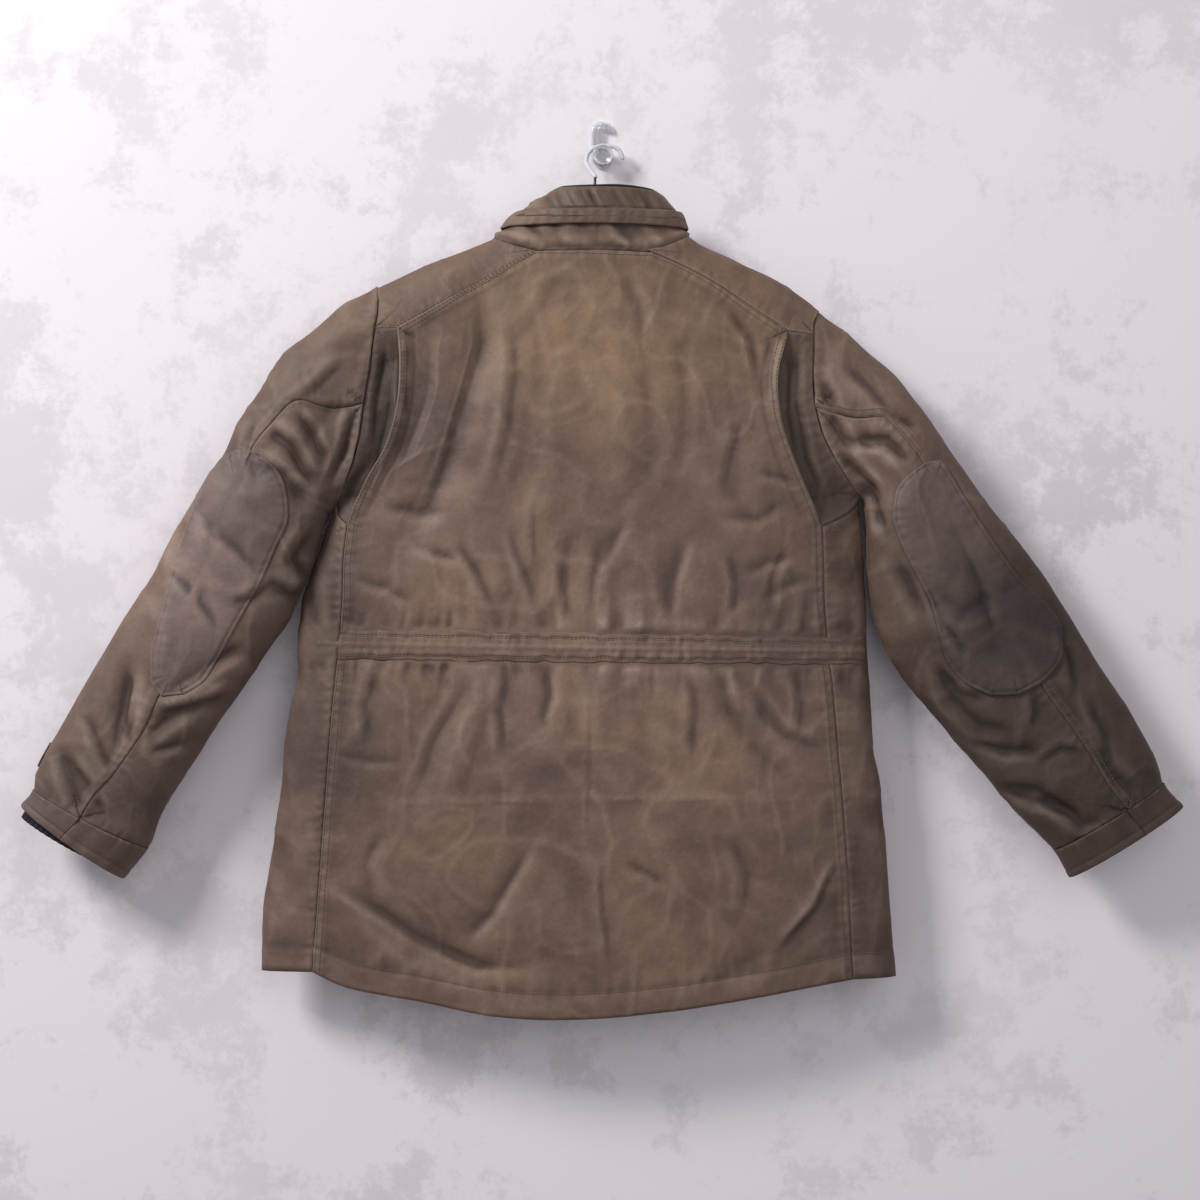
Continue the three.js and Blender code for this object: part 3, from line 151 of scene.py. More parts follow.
# Rings of the sleeves: outer x and z, inner x and z, half depth, place of the hind seam.
SLEEVE_COLUMNS = ("outer_x", "outer_z", "inner_x", "inner_z", "depth", "hind")
SLEEVES = {
    "left": (
        (-235, -167, -279, -395, 25, 0.50),
        (-268, -184, -285, -399, 28, 0.47),
        (-302, -213, -289, -404, 30, 0.42),
        (-331, -236, -292, -412, 32, 0.37),
        (-356, -274, -296, -425, 33, 0.33),
        (-378, -306, -300, -442, 34, 0.31),
        (-397, -345, -305, -462, 34, 0.32),
        (-420, -384, -315, -484, 34, 0.34),
        (-442, -418, -329, -514, 34, 0.38),
        (-472, -472, -351, -547, 34, 0.43),
        (-496, -508, -375, -583, 33, 0.48),
        (-522, -552, -400, -618, 32, 0.53),
        (-549, -601, -423, -655, 31, 0.55),
        (-572, -643, -448, -691, 30, 0.54),
        (-588, -673, -465, -722, 29, 0.50),
        (-593, -693, -477, -753, 28, 0.47),
        (-606, -710, -502, -784, 27, 0.46),
        (-617, -728, -513, -802, 26, 0.46),
    ),
    "right": (
        (227, -192, 269, -388, 25, 0.50),
        (256, -213, 273, -393, 28, 0.48),
        (280, -237, 275, -400, 30, 0.43),
        (303, -258, 276, -413, 32, 0.38),
        (324, -285, 277, -433, 33, 0.35),
        (348, -316, 278, -458, 34, 0.33),
        (378, -357, 280, -488, 34, 0.33),
        (405, -395, 285, -516, 34, 0.34),
        (432, -430, 293, -542, 34, 0.36),
        (464, -474, 313, -574, 34, 0.39),
        (492, -518, 339, -605, 33, 0.42),
        (522, -567, 367, -638, 32, 0.43),
        (552, -612, 401, -678, 31, 0.43),
        (579, -662, 430, -713, 30, 0.43),
        (586, -686, 472, -756, 28, 0.42),
        (607, -710, 489, -784, 27, 0.42),
        (618, -728, 500, -802, 26, 0.42),
    ),
}

# Crossing rows of the elbow patches from the top down: from x and z, to x and z.
PATCH_COLUMNS = ("from_x", "from_z", "to_x", "to_z")
PATCHES = {
    "left": (
        (-385, -343, -362, -341),
        (-402, -354, -339, -356),
        (-416, -376, -327, -381),
        (-428, -405, -325, -408),
        (-440, -442, -338, -441),
        (-450, -482, -356, -481),
        (-458, -517, -375, -514),
        (-466, -550, -395, -550),
        (-466, -576, -412, -577),
        (-454, -594, -433, -592),
    ),
    "right": (
        (331, -354, 350, -351),
        (313, -368, 360, -365),
        (303, -385, 373, -387),
        (300, -408, 390, -413),
        (310, -440, 412, -446),
        (325, -470, 433, -474),
        (339, -498, 458, -498),
        (346, -524, 475, -524),
        (353, -550, 475, -550),
        (372, -577, 456, -577),
        (402, -593, 428, -592),
    ),
}

# Collar rows above its seam: side edges, back and front centre heights, depths.
COLLAR_COLUMNS = ("left_x", "left_z", "right_x", "right_z", "back_z", "front_z", "back", "front")
COLLAR = (
    (-104, -107, 86, -107, -104, -188, 29, 20),
    (-87, -90, 79, -90, -89, -172, 28, 20),
    (-68, -75, 69, -77, -75, -158, 26, 20),
    (-50, -64, 59, -68, -65, -148, 24, 19),
)

# Large folds: depth, width, places along the fold. Depths below 0 are ridges.
BACK_FOLDS = (
    (7, 20, ((-128, -172), (-128, -230), (-146, -293), (-165, -358), (-204, -442))),
    (5, 15, ((-179, -216), (-182, -272), (-192, -314), (-213, -365))),
    (5, 32, ((79, -211), (84, -285), (81, -369))),
    (4, 15, ((131, -186), (156, -226), (162, -272))),
    (5, 22, ((-139, -578), (-175, -642), (-192, -695))),
    (4, 18, ((-270, -777), (-234, -816), (-190, -845), (-128, -872), (-45, -872))),
    (4, 18, ((-69, -730), (-115, -819), (-145, -848))),
    (-5, 16, ((246, -772), (221, -813), (179, -863))),
    (4, 20, ((146, -571), (188, -636), (235, -653))),
    (-0.8, 9, ((-275, -711), (-13, -702), (240, -705))),
    (3, 16, ((51, -575), (51, -640), (48, -726))),
)
SLEEVE_FOLDS = {
    "left": (
        (7, 12, ((-262, -330), (-285, -345), (-312, -390))),
        (5, 10, ((-275, -290), (-296, -320), (-316, -360))),
        (5, 14, ((-419, -404), (-385, -436), (-355, -470))),
        (5, 16, ((-488, -563), (-500, -620), (-506, -656))),
        (-4, 10, ((-462, -606), (-410, -600), (-382, -584))),
    ),
    "right": (
        (6, 11, ((240, -316), (262, -352), (280, -400))),
        (5, 10, ((262, -305), (290, -350), (300, -380))),
        (5, 15, ((370, -430), (392, -480), (410, -540))),
        (4, 15, ((415, -695), (450, -706), (507, -722))),
        (5, 13, ((385, -638), (420, -650), (454, -656))),
    ),
}

# Creases over the folds: depth and width of the trough, height of its ridge (below 0 on its left), places.
BACK_CREASES = (
    (1.6, 6, 1.2, ((-128, -172), (-127, -230), (-146, -293), (-165, -358), (-204, -442))),
    (1.5, 6, -1.2, ((-179, -216), (-182, -272), (-192, -314), (-213, -365))),
    (0.9, 9, -0.7, ((79, -211), (84, -285), (81, -369))),
    (1.5, 6, 1.2, ((131, -186), (156, -226), (162, -272))),
    (1.2, 5, 0.9, ((160, -361), (180, -366), (203, -372))),
    (0.9, 3.5, 0.6, ((-71, -385), (-71, -430), (-69, -462))),
    (1.6, 6, 1.0, ((-150, -432), (-128, -468), (-112, -506))),
    (1.3, 5, 0.9, ((-98, -418), (-82, -460), (-70, -510))),
    (1.4, 6, 0.9, ((-45, -450), (-38, -490), (-34, -521))),
    (1.2, 5, -0.9, ((0, -425), (-10, -470), (-13, -516))),
    (1.4, 6, -1.0, ((26, -405), (8, -440), (-6, -470))),
    (1.3, 5, -0.9, ((90, -430), (74, -475), (66, -520))),
    (1.5, 6, 1.0, ((128, -440), (140, -480), (136, -520))),
    (1.4, 6, -1.0, ((190, -420), (176, -470), (172, -522))),
    (0.9, 3.5, 0.6, ((51, -498), (51, -560), (51, -607))),
    (0.7, 2.6, 0.5, ((-14, -575), (-14, -650), (-15, -747))),
    (1.5, 7, 1.2, ((-139, -578), (-175, -642), (-192, -695))),
    (1.1, 5, 0.8, ((-283, -653), (-240, -660), (-204, -659))),
    (1.6, 6, 1.2, ((-290, -777), (-234, -816), (-190, -845), (-128, -872), (-45, -872))),
    (1.5, 6, -1.2, ((-69, -730), (-115, -819), (-145, -848))),
    (1.2, 6, 0.8, ((20, -765), (45, -778), (65, -786))),
    (1.0, 4, 0.7, ((-3, -754), (2, -820), (8, -878))),
    (1.5, 7, -1.1, ((146, -571), (188, -636), (235, -653))),
    (1.6, 5, 2.0, ((250, -760), (221, -813), (179, -863))),
    (0.3, 2.5, -0.8, ((-283, -712), (-150, -706), (-13, -702), (120, -703), (247, -705))),
    (1.6, 7, 1.0, ((-232, -562), (-244, -606), (-240, -650))),
    (1.7, 7, 1.1, ((-96, -562), (-104, -610), (-98, -668))),
    (1.4, 6, -1.0, ((-60, -562), (-56, -596), (-62, -630))),
    (1.5, 7, 1.0, ((92, -565), (98, -612), (92, -668))),
    (1.3, 6, -0.9, ((120, -565), (128, -596), (138, -622))),
    (1.6, 7, 1.1, ((202, -565), (210, -604), (206, -642))),
    (0.7, 9, 0.6, ((-40, -150), (-62, -190), (-96, -236))),
    (1.2, 8, -0.8, ((20, -152), (36, -190), (44, -240))),
    (1.4, 7, 1.0, ((-228, -392), (-196, -404), (-150, -402))),
    (1.3, 7, -1.0, ((196, -392), (160, -410), (118, -408))),
    (1.2, 6, 0.8, ((-262, -470), (-222, -480), (-190, -500))),
    (1.2, 6, -0.8, ((222, -470), (190, -478), (160, -496))),
    (1.2, 7, 0.8, ((150, -300), (134, -340), (122, -392))),
    (1.3, 8, 0.9, ((130, -735), (150, -780), (146, -830))),
    (2.2, 5, 1.4, ((-226, -222), (-232, -280), (-240, -340))),
    (1.8, 4, -1.2, ((-216, -230), (-222, -300), (-236, -360), (-254, -400))),
    (2.2, 5, -1.4, ((206, -224), (202, -290), (214, -350), (238, -398))),
    (1.8, 4, 1.2, ((196, -232), (194, -300), (204, -352))),
    (1.6, 7, 1.2, ((-202, -222), (-206, -268), (-200, -312))),
    (1.5, 7, -1.2, ((168, -216), (176, -250), (172, -292))),
    (1.6, 8, 1.3, ((-96, -196), (-90, -260), (-98, -330), (-120, -400))),
    (0.6, 9, -0.5, ((40, -240), (50, -310), (46, -380))),
    (1.3, 6, 1.0, ((-204, -430), (-176, -446), (-140, -452))),
    (1.3, 6, -1.0, ((206, -446), (172, -452), (140, -470))),
    (1.2, 7, -0.8, ((-230, -730), (-246, -770), (-240, -812))),
    (1.9, 14, 1.3, ((-118, -180), (-124, -250), (-148, -330), (-190, -420))),
    (1.3, 16, -1.0, ((-60, -190), (-72, -270), (-84, -350), (-116, -430))),
    (0.6, 18, 0.5, ((30, -190), (44, -270), (40, -350), (22, -420))),
    (1.5, 16, -1.1, ((112, -192), (130, -260), (142, -340), (132, -420))),
    (1.2, 11, 0.9, ((-30, -410), (-40, -470), (-50, -522))),
    (1.2, 11, -0.9, ((82, -420), (70, -470), (62, -522))),
    (1.5, 14, 1.1, ((-100, -566), (-130, -650), (-150, -720))),
    (1.2, 14, -1.0, ((100, -566), (150, -640), (200, -690))),
    (1.8, 16, 1.4, ((-256, -790), (-190, -850), (-100, -880))),
    (1.4, 16, -1.1, ((236, -790), (190, -850), (110, -885))),
)
SLEEVE_CREASES = {
    "left": (
        (1.5, 7, 1.2, ((-262, -246), (-288, -270), (-318, -296))),
        (1.6, 6, 1.2, ((-419, -404), (-385, -436), (-352, -474))),
        (1.4, 6, 1.0, ((-452, -462), (-420, -490), (-392, -530))),
        (1.6, 6, -1.3, ((-488, -563), (-500, -620), (-506, -656))),
        (1.5, 5, -1.4, ((-468, -612), (-420, -604), (-382, -586))),
        (1.3, 5, 1.0, ((-472, -650), (-450, -646), (-428, -640))),
        (1.4, 6, 1.0, ((-540, -610), (-520, -640), (-498, -690))),
        (1.4, 6, -1.0, ((-560, -650), (-530, -690), (-512, -724))),
        (1.2, 6, 1.0, ((-360, -300), (-366, -340), (-352, -384))),
        (1.3, 6, 1.0, ((-334, -470), (-362, -492), (-384, -498))),
        (2.8, 7, 1.8, ((-246, -280), (-262, -322), (-286, -382))),
        (2.8, 8, -2.0, ((-352, -312), (-322, -336), (-296, -382))),
        (2.6, 7, -1.8, ((-362, -352), (-330, -366), (-300, -400))),
        (2.0, 6, -1.6, ((-318, -298), (-298, -322), (-286, -356))),
        (2.4, 9, 1.6, ((-298, -414), (-318, -453), (-304, -482))),
        (1.8, 8, -1.3, ((-350, -474), (-326, -486), (-306, -486))),
        (2.4, 9, 1.8, ((-460, -598), (-403, -556), (-370, -538))),
        (2.2, 9, 1.6, ((-484, -644), (-440, -612), (-402, -590))),
        (2.6, 11, -1.7, ((-491, -557), (-495, -612), (-484, -664))),
        (1.8, 9, 1.2, ((-566, -640), (-546, -690), (-530, -742))),
        (1.6, 10, 1.2, ((-404, -372), (-430, -420), (-436, -470))),
    ),
    "right": (
        (1.6, 6, 1.2, ((256, -372), (282, -392), (300, -440))),
        (1.5, 7, 1.1, ((250, -250), (276, -276), (300, -300))),
        (1.7, 7, -1.3, ((370, -430), (392, -480), (410, -540))),
        (1.5, 6, 1.1, ((330, -470), (352, -520), (380, -560))),
        (2.2, 6, 1.6, ((404, -690), (450, -706), (507, -722))),
        (1.9, 6, 1.4, ((380, -637), (420, -650), (456, -656))),
        (1.5, 5, -1.2, ((447, -670), (474, -649), (501, -652))),
        (1.3, 5, 1.0, ((444, -591), (446, -610), (445, -628))),
        (1.4, 7, 1.0, ((500, -590), (520, -630), (530, -676))),
        (1.4, 6, -1.0, ((340, -560), (372, -590), (400, -600))),
        (1.3, 6, 1.0, ((470, -520), (486, -560), (490, -600))),
        (3.4, 9, 1.8, ((262, -372), (276, -392), (284, -424))),
        (2.6, 8, -1.6, ((222, -252), (242, -312), (268, -364))),
        (3.0, 8, 2.2, ((247, -326), (294, -330), (322, -352))),
        (2.8, 8, -1.8, ((237, -340), (263, -364), (290, -392))),
        (2.0, 7, 1.4, ((283, -297), (304, -308), (328, -314))),
        (2.0, 12, 1.4, ((335, -479), (372, -505), (434, -478))),
        (2.6, 8, 2.0, ((396, -682), (452, -692), (497, -728), (524, -724))),
        (2.2, 10, 1.6, ((341, -546), (361, -598), (393, -624), (432, -626))),
        (2.0, 9, -1.4, ((507, -640), (523, -671), (552, -696))),
        (1.8, 10, 1.2, ((300, -440), (322, -490), (344, -520))),
    ),
}

# Tone of the cloth together with painted shade: place x, z, then lightness and warmth about a middle of 1
# and 0.
# The dark, cool places on the right sleeve, on the body beside the left sleeve and at both armpits are
# painted shade.
TONE_AND_SHADE_REACH = 90
TONES_AND_PAINTED_SHADE = (
    (-5, -170, 1.22, 0.9), (-5, -240, 1.24, 0.9), (-120, -250, 0.95, 0.6), (100, -250, 0.96, 0.7),
    (-5, -340, 0.97, 0.3), (-5, -420, 0.95, 0.1), (-130, -330, 0.86, -0.1), (120, -340, 0.86, -0.1),
    (-230, -320, 0.72, -0.5), (200, -340, 0.82, -0.4), (-150, -450, 0.84, -0.3), (150, -450, 0.83, -0.4),
    (-5, -500, 1.40, 0.2), (-150, -505, 1.14, 0.1), (-5, -640, 1.04, 0.2), (-150, -620, 0.98, 0.1),
    (-262, -640, 0.60, -0.1), (130, -640, 1.00, 0.2), (240, -640, 0.86, -0.1), (-5, -790, 0.92, 0.1),
    (-240, -840, 0.88, 0.0), (220, -850, 0.78, 0.0), (-330, -860, 0.98, -0.1), (290, -860, 0.66, -0.1),
    (-180, -165, 0.70, 0.3), (150, -175, 0.84, 0.4), (-320, -270, 0.66, 0.3), (-400, -480, 1.05, -0.3),
    (-360, -560, 0.84, 0.0), (-480, -600, 0.78, -0.2), (-520, -720, 0.58, -0.6), (280, -270, 0.90, 0.1),
    (350, -350, 0.84, 0.0), (300, -450, 0.55, -0.2), (420, -500, 0.14, -0.2), (480, -600, 0.36, -0.2),
    (520, -700, 0.32, -0.3), (380, -590, 0.40, -0.2), (-5, -84, 0.42, 0.1), (-5, -116, 0.66, 0.2),
    (-276, -500, 0.42, -0.5),
)


def mix(start, end, share):
    return start + (end - start) * share


def ease(share):
    share = np.clip(share, 0, 1)
    return share * share * (3 - 2 * share)


def smooth_read(keys, values, at):
    """Reads a table's column smoothly, with no overshoot between its rows."""
    keys = np.asarray(keys, float)
    values = np.asarray(values, float)
    rise = np.diff(values) / np.diff(keys)
    slope = np.concatenate([rise[:1], np.zeros(len(rise) - 1), rise[-1:]])
    turning = rise[:-1] * rise[1:] <= 0
    total = np.where(turning, 1, rise[:-1] + rise[1:])
    slope[1:-1] = np.where(turning, 0, 2 * rise[:-1] * rise[1:] / total)
    place = np.clip(at, keys[0], keys[-1])
    row = np.clip(np.searchsorted(keys, place) - 1, 0, len(keys) - 2)
    step = keys[row + 1] - keys[row]
    t = (place - keys[row]) / step
    start = (1 + 2 * t) * (1 - t) ** 2 * values[row] + t * (1 - t) ** 2 * step * slope[row]
    end = t * t * (3 - 2 * t) * values[row + 1] + t * t * (t - 1) * step * slope[row + 1]
    return start + end


def column_reader(names, rows):
    columns = dict(zip(names, zip(*rows)))
    keys = range(len(rows))
    return lambda name, at: smooth_read(keys, columns[name], at)


def body_at(name, z):
    return smooth_read(BODY["z"], BODY[name], z)


def near_line(x, z, line):
    """Distance to a line of places, signed by its side, and how far along it lies."""
    nearest = np.full(np.shape(x), 1e9)
    signed = np.zeros(np.shape(x))
    along = np.zeros(np.shape(x))
    for i, ((from_x, from_z), (to_x, to_z)) in enumerate(zip(line, line[1:])):
        run_x = to_x - from_x
        run_z = to_z - from_z
        t = np.clip(((x - from_x) * run_x + (z - from_z) * run_z) / (run_x**2 + run_z**2), 0, 1)
        off_x = x - from_x - t * run_x
        off_z = z - from_z - t * run_z
        distance = np.hypot(off_x, off_z)
        closer = distance < nearest
        side = np.sign(off_x * run_z - off_z * run_x)
        nearest = np.where(closer, distance, nearest)
        signed = np.where(closer, distance * side, signed)
        along = np.where(closer, (i + t) / (len(line) - 1), along)
    return signed, along


def fold_depth(x, z, folds):
    depth = np.zeros(np.shape(x))
    for deep, width, line in folds:
        signed, along = near_line(x, z, line)
        fade = np.sqrt(np.maximum(0, np.sin(np.pi * mix(0.12, 0.88, along))))
        depth += deep * fade * np.exp(-((signed / width) ** 2))
    return depth


def crease_height(x, z, creases):
    """Troughs with a softer ridge beside each, fading out at their ends."""
    height = np.zeros(np.shape(x))
    for deep, width, ridge, line in creases:
        signed, along = near_line(x, z, line)
        signed = signed + min(width, 6) * 0.4 * ripple(along * 3 + line[0][0] * 0.37, line[0][1] * 0.11)
        fade = ease(np.minimum(along, 1 - along) / 0.3 + 0.02)
        height -= deep * fade * crest(signed, 0.8 * width)
        height += abs(ridge) * fade * crest(signed - math.copysign(1.5 * width, ridge), 0.7 * width)
    return height


def crest(distance, width):
    """A fold's profile: a nearly sharp line at its middle, and soft sides."""
    rounded = np.sqrt(distance**2 + (0.25 * width) ** 2) - 0.25 * width
    return np.exp(-rounded / width)


def scatter(column, row):
    """A fixed number from -1 to 1 for each whole column and row."""
    value = np.sin(column * 127.1 + row * 311.7) * 43758.5453
    return 2 * (value - np.floor(value)) - 1


def ripple(x, y):
    """Smooth fixed noise from about -1 to 1 over the plane."""
    x = np.asarray(x, float)
    y = np.asarray(y, float) + np.zeros(np.shape(x))
    column = np.floor(x)
    row = np.floor(y)
    across = ease(x - column)
    up = ease(y - row)
    low = mix(scatter(column, row), scatter(column + 1, row), across)
    high = mix(scatter(column, row + 1), scatter(column + 1, row + 1), across)
    return mix(low, high, up)


def rumple_height(x, z, amount):
    """Uneven soft dents and thin dry ridges, as waxed cloth keeps them."""
    bend_x = x + 22 * ripple(x / 70, z / 60)
    bend_z = z + 22 * ripple(x / 60 + 31, z / 75 + 17)
    soft = 1.5 * ripple(bend_x / 62, bend_z / 74) + 0.8 * ripple(bend_x / 27 + 9, bend_z / 33 + 5)
    dry = 1 - np.abs(ripple(bend_x / 40 + 50, bend_z / 52 + 80)) * 3.2
    fine = 1 - np.abs(ripple(bend_x / 21 + 12, bend_z / 26 + 40)) * 3.6
    return amount * (soft + np.maximum(dry, 0) ** 2 + 0.5 * np.maximum(fine, 0) ** 2)


def spline_points(places, steps, crowding=1):
    """Places in equal steps along a smooth line, crowded at its end where crowding is above 1."""
    points = [np.array(place, float) for place in places]
    points = [2 * points[0] - points[1], *points, 2 * points[-1] - points[-2]]
    dense = [points[1]]
    for before, start, end, after in zip(points, points[1:], points[2:], points[3:]):
        gap0, gap1, gap2 = (
            math.sqrt(np.linalg.norm(b - a)) for a, b in ((before, start), (start, end), (end, after))
        )
        leave = (start - before) / gap0 - (end - before) / (gap0 + gap1) + (end - start) / gap1
        arrive = (end - start) / gap1 - (after - start) / (gap1 + gap2) + (after - end) / gap2
        leave = leave * gap1
        arrive = arrive * gap1
        for t in np.linspace(0, 1, 61)[1:]:
            cubic = 2 * start - 2 * end + leave + arrive
            square = -3 * start + 3 * end - 2 * leave - arrive
            dense.append(start + leave * t + square * t**2 + cubic * t**3)
    dense = np.array(dense)
    gone = np.concatenate([[0], np.cumsum(np.linalg.norm(np.diff(dense, axis=0), axis=1))])
    shares = 1 - (1 - np.linspace(0, 1, steps + 1)) ** crowding
    return np.stack([np.interp(shares * gone[-1], gone, dense[:, k]) for k in range(2)], -1)


def signed_power(value, power):
    return np.sign(value) * np.abs(value) ** power


def body_point(around, z):
    """A place on the body: around is 0 at centre back, 0.5 and -0.5 at the sides, 1 at centre front."""
    left = body_at("left", z)
    right = body_at("right", z)
    turn = around * np.pi
    x = (left + right) / 2 + (right - left) / 2 * signed_power(np.sin(turn), ROUNDNESS)
    facing = signed_power(np.cos(turn), ROUNDNESS)
    depth = np.where(facing > 0, body_at("back", z), body_at("front", z))
    push = fold_depth(x, z, BACK_FOLDS) * np.minimum(np.abs(facing) * 2, 1)
    give = np.where(facing > 0, push, -push * 0.5)
    return np.stack([x, BODY_MIDDLE_Y - depth * facing + give, z + 0 * x], -1)


def body_normal(around, z):
    along = body_point(around + 0.002, z) - body_point(around - 0.002, z)
    up = body_point(around, z + 0.5) - body_point(around, z - 0.5)
    normal = np.cross(along, up)
    return normal / np.linalg.norm(normal, axis=-1, keepdims=True)


def back_share(x, z):
    left = body_at("left", z)
    right = body_at("right", z)
    across = np.clip((x - (left + right) / 2) / ((right - left) / 2), -1, 1)
    return np.arcsin(signed_power(across, 1 / ROUNDNESS)) / np.pi


def on_back(places):
    return np.stack([back_share(places[:, 0], places[:, 1]), places[:, 1]], -1)


def on_front(side):
    half = -1 if side == "left" else 1

    def place(places):
        return np.stack([half - back_share(places[:, 0], places[:, 1]), places[:, 1]], -1)

    return place


def joined(*lists):
    return np.concatenate([part if i == 0 else part[1:] for i, part in enumerate(lists)])


def blend_patch(left, right, bottom, top):
    """Places in the rows and columns of a patch between four edges."""
    u = np.linspace(0, 1, len(bottom))[None, :, None]
    v = np.linspace(0, 1, len(left))[:, None, None]
    sides = mix(left[:, None], right[:, None], u)
    ends = mix(bottom[None], top[None], v)
    corners = mix(mix(bottom[:1], bottom[-1:], u), mix(top[:1], top[-1:], u), v)
    return sides + ends - corners


# Steps of the edges: FINE is how many more there are than in the plain solids.
FINE = 12
SIDE_STEPS = 11 * FINE
PLEAT_STEPS = 7 * FINE
YOKE_STEPS = 6 * FINE
NECK_STEPS = 6 * FINE
NECK_SIDE_STEPS = 3 * FINE
ARMHOLE_YOKE_STEPS = 3 * FINE
ARMPIT_CROWDING = 1.6
RELIEF_PASSES = 2 * FINE


def back_line(name, steps):
    return on_back(spline_points(SEAMS[name], steps))


def armhole_half(side, place, fine=1.0):
    yoke = place(spline_points(ARMHOLES[side]["yoke"], int(ARMHOLE_YOKE_STEPS * fine)))
    down = place(spline_points(ARMHOLES[side]["side"], int(PLEAT_STEPS * fine), ARMPIT_CROWDING))
    half = joined(yoke, down)
    half[0, 0] = -0.5 if side == "left" else 0.5
    half[-1, 0] = half[0, 0]
    return half


def gusset_foot(side):
    start = back_line(f"side_{side}", SIDE_STEPS)[-1]
    armpit = armhole_half(side, on_back)[-1]
    return mix(start[None], armpit[None], np.linspace(0, 1, 3 * FINE + 1)[:, None])


def neck_side(side):
    back = back_line(f"neck_side_{side}", NECK_SIDE_STEPS)
    back[-1, 0] = -0.5 if side == "left" else 0.5
    seam_top = SEAMS[f"neck_side_{side}"][-1]
    front = on_front(side)(spline_points((seam_top, FRONT_NECK[side][0]), NECK_SIDE_STEPS))
    front[0, 0] = back[-1, 0]
    return back, front


def front_neck(side):
    line = on_front(side)(spline_points(FRONT_NECK[side], NECK_STEPS))
    line[-1] = (-1 if side == "left" else 1, FRONT_NECK_Z)
    return line


def back_places():
    left = joined(back_line("side_left", SIDE_STEPS), back_line("pleat_left", PLEAT_STEPS))
    right = joined(back_line("side_right", SIDE_STEPS), back_line("pleat_right", PLEAT_STEPS))
    top = joined(back_line("yoke_left", YOKE_STEPS), back_line("neck_back", NECK_STEPS),
                 back_line("yoke_right", YOKE_STEPS))
    bottom = back_line("hem", YOKE_STEPS * 2 + NECK_STEPS)
    return blend_patch(left, right, bottom, top)


def front_outside(side):
    armhole = armhole_half(side, on_front(side))[ARMHOLE_YOKE_STEPS:][::-1]
    return joined(back_line(f"side_{side}", SIDE_STEPS), gusset_foot(side), armhole)


def front_places(side):
    half = -1 if side == "left" else 1
    outside = front_outside(side)
    heights = front_outside("left")[:, 1]
    share = (heights - heights[0]) / (heights[-1] - heights[0])
    centre = np.stack([np.full(len(share), half), mix(FRONT_HEM_Z, FRONT_NECK_Z, share)], -1)
    yoke = on_front(side)(spline_points(FRONT_YOKE[side], YOKE_STEPS + FINE))[::-1]
    top = joined(yoke, front_neck(side))
    bottom = mix(outside[:1], np.array([[half, FRONT_HEM_Z]]), np.linspace(0, 1, len(top))[:, None])
    return blend_patch(outside, centre, bottom, top)


def yoke_places(side):
    back_arm = armhole_half(side, on_back)[:ARMHOLE_YOKE_STEPS + 1]
    front_arm = armhole_half(side, on_front(side))[:ARMHOLE_YOKE_STEPS + 1]
    neck_back, neck_front = neck_side(side)
    neck_end = joined(neck_back, neck_front)
    arm_end = joined(back_arm[::-1], front_arm)
    seam = back_line(f"yoke_{side}", YOKE_STEPS)
    seam = seam[::-1] if side == "left" else seam
    last = mix(seam[-1:], arm_end[:1], np.linspace(0, 1, FINE + 1)[1:, None])
    back_edge = np.concatenate([seam, last])
    front_edge = on_front(side)(spline_points(FRONT_YOKE[side], YOKE_STEPS + FINE))
    share = np.linspace(0, 1, len(back_edge))
    ridge = np.stack([np.full(len(share), neck_back[-1, 0]),
                      mix(neck_end[NECK_SIDE_STEPS, 1], arm_end[NECK_SIDE_STEPS, 1], share)], -1)
    columns = []
    for i in range(len(neck_end)):
        behind = i <= NECK_SIDE_STEPS
        base = 0 if behind else NECK_SIDE_STEPS
        t = (i - base) / NECK_SIDE_STEPS
        near, far = (back_edge, ridge) if behind else (ridge, front_edge)
        neck_off = neck_end[i] - mix(neck_end[base], neck_end[base + NECK_SIDE_STEPS], t)
        arm_off = arm_end[i] - mix(arm_end[base], arm_end[base + NECK_SIDE_STEPS], t)
        columns.append(mix(near, far, t) + mix(neck_off[None], arm_off[None], share[:, None]))
    return np.stack(columns, 1)


def gusset_places(side):
    """Places of the cloth behind a pleat, and how deep it lies under the folded edge."""
    armhole = armhole_half(side, on_back)[ARMHOLE_YOKE_STEPS:][::-1]
    edge = back_line(f"pleat_{side}", PLEAT_STEPS)
    row = np.arange(PLEAT_STEPS + 1) / FINE
    tuck = PLEAT_TUCK * np.maximum(0, np.sin(np.pi * np.clip((row - 1) / 5, 0, 1)))
    open_part = np.minimum(1, np.minimum(row, 7 - row))
    width = body_at("right", edge[:, 1]) - body_at("left", edge[:, 1])
    inward = 1 if side == "left" else -1
    under = edge.copy()
    under[:, 0] += inward * tuck / width * 2 / np.pi
    share = np.linspace(0, 1, 3 * FINE + 1)[None, :, None]
    places = mix(armhole[:, None], under[:, None], share)
    return places, -PLEAT_DEPTH * open_part[:, None] * ease(share[..., 0] / 0.6)


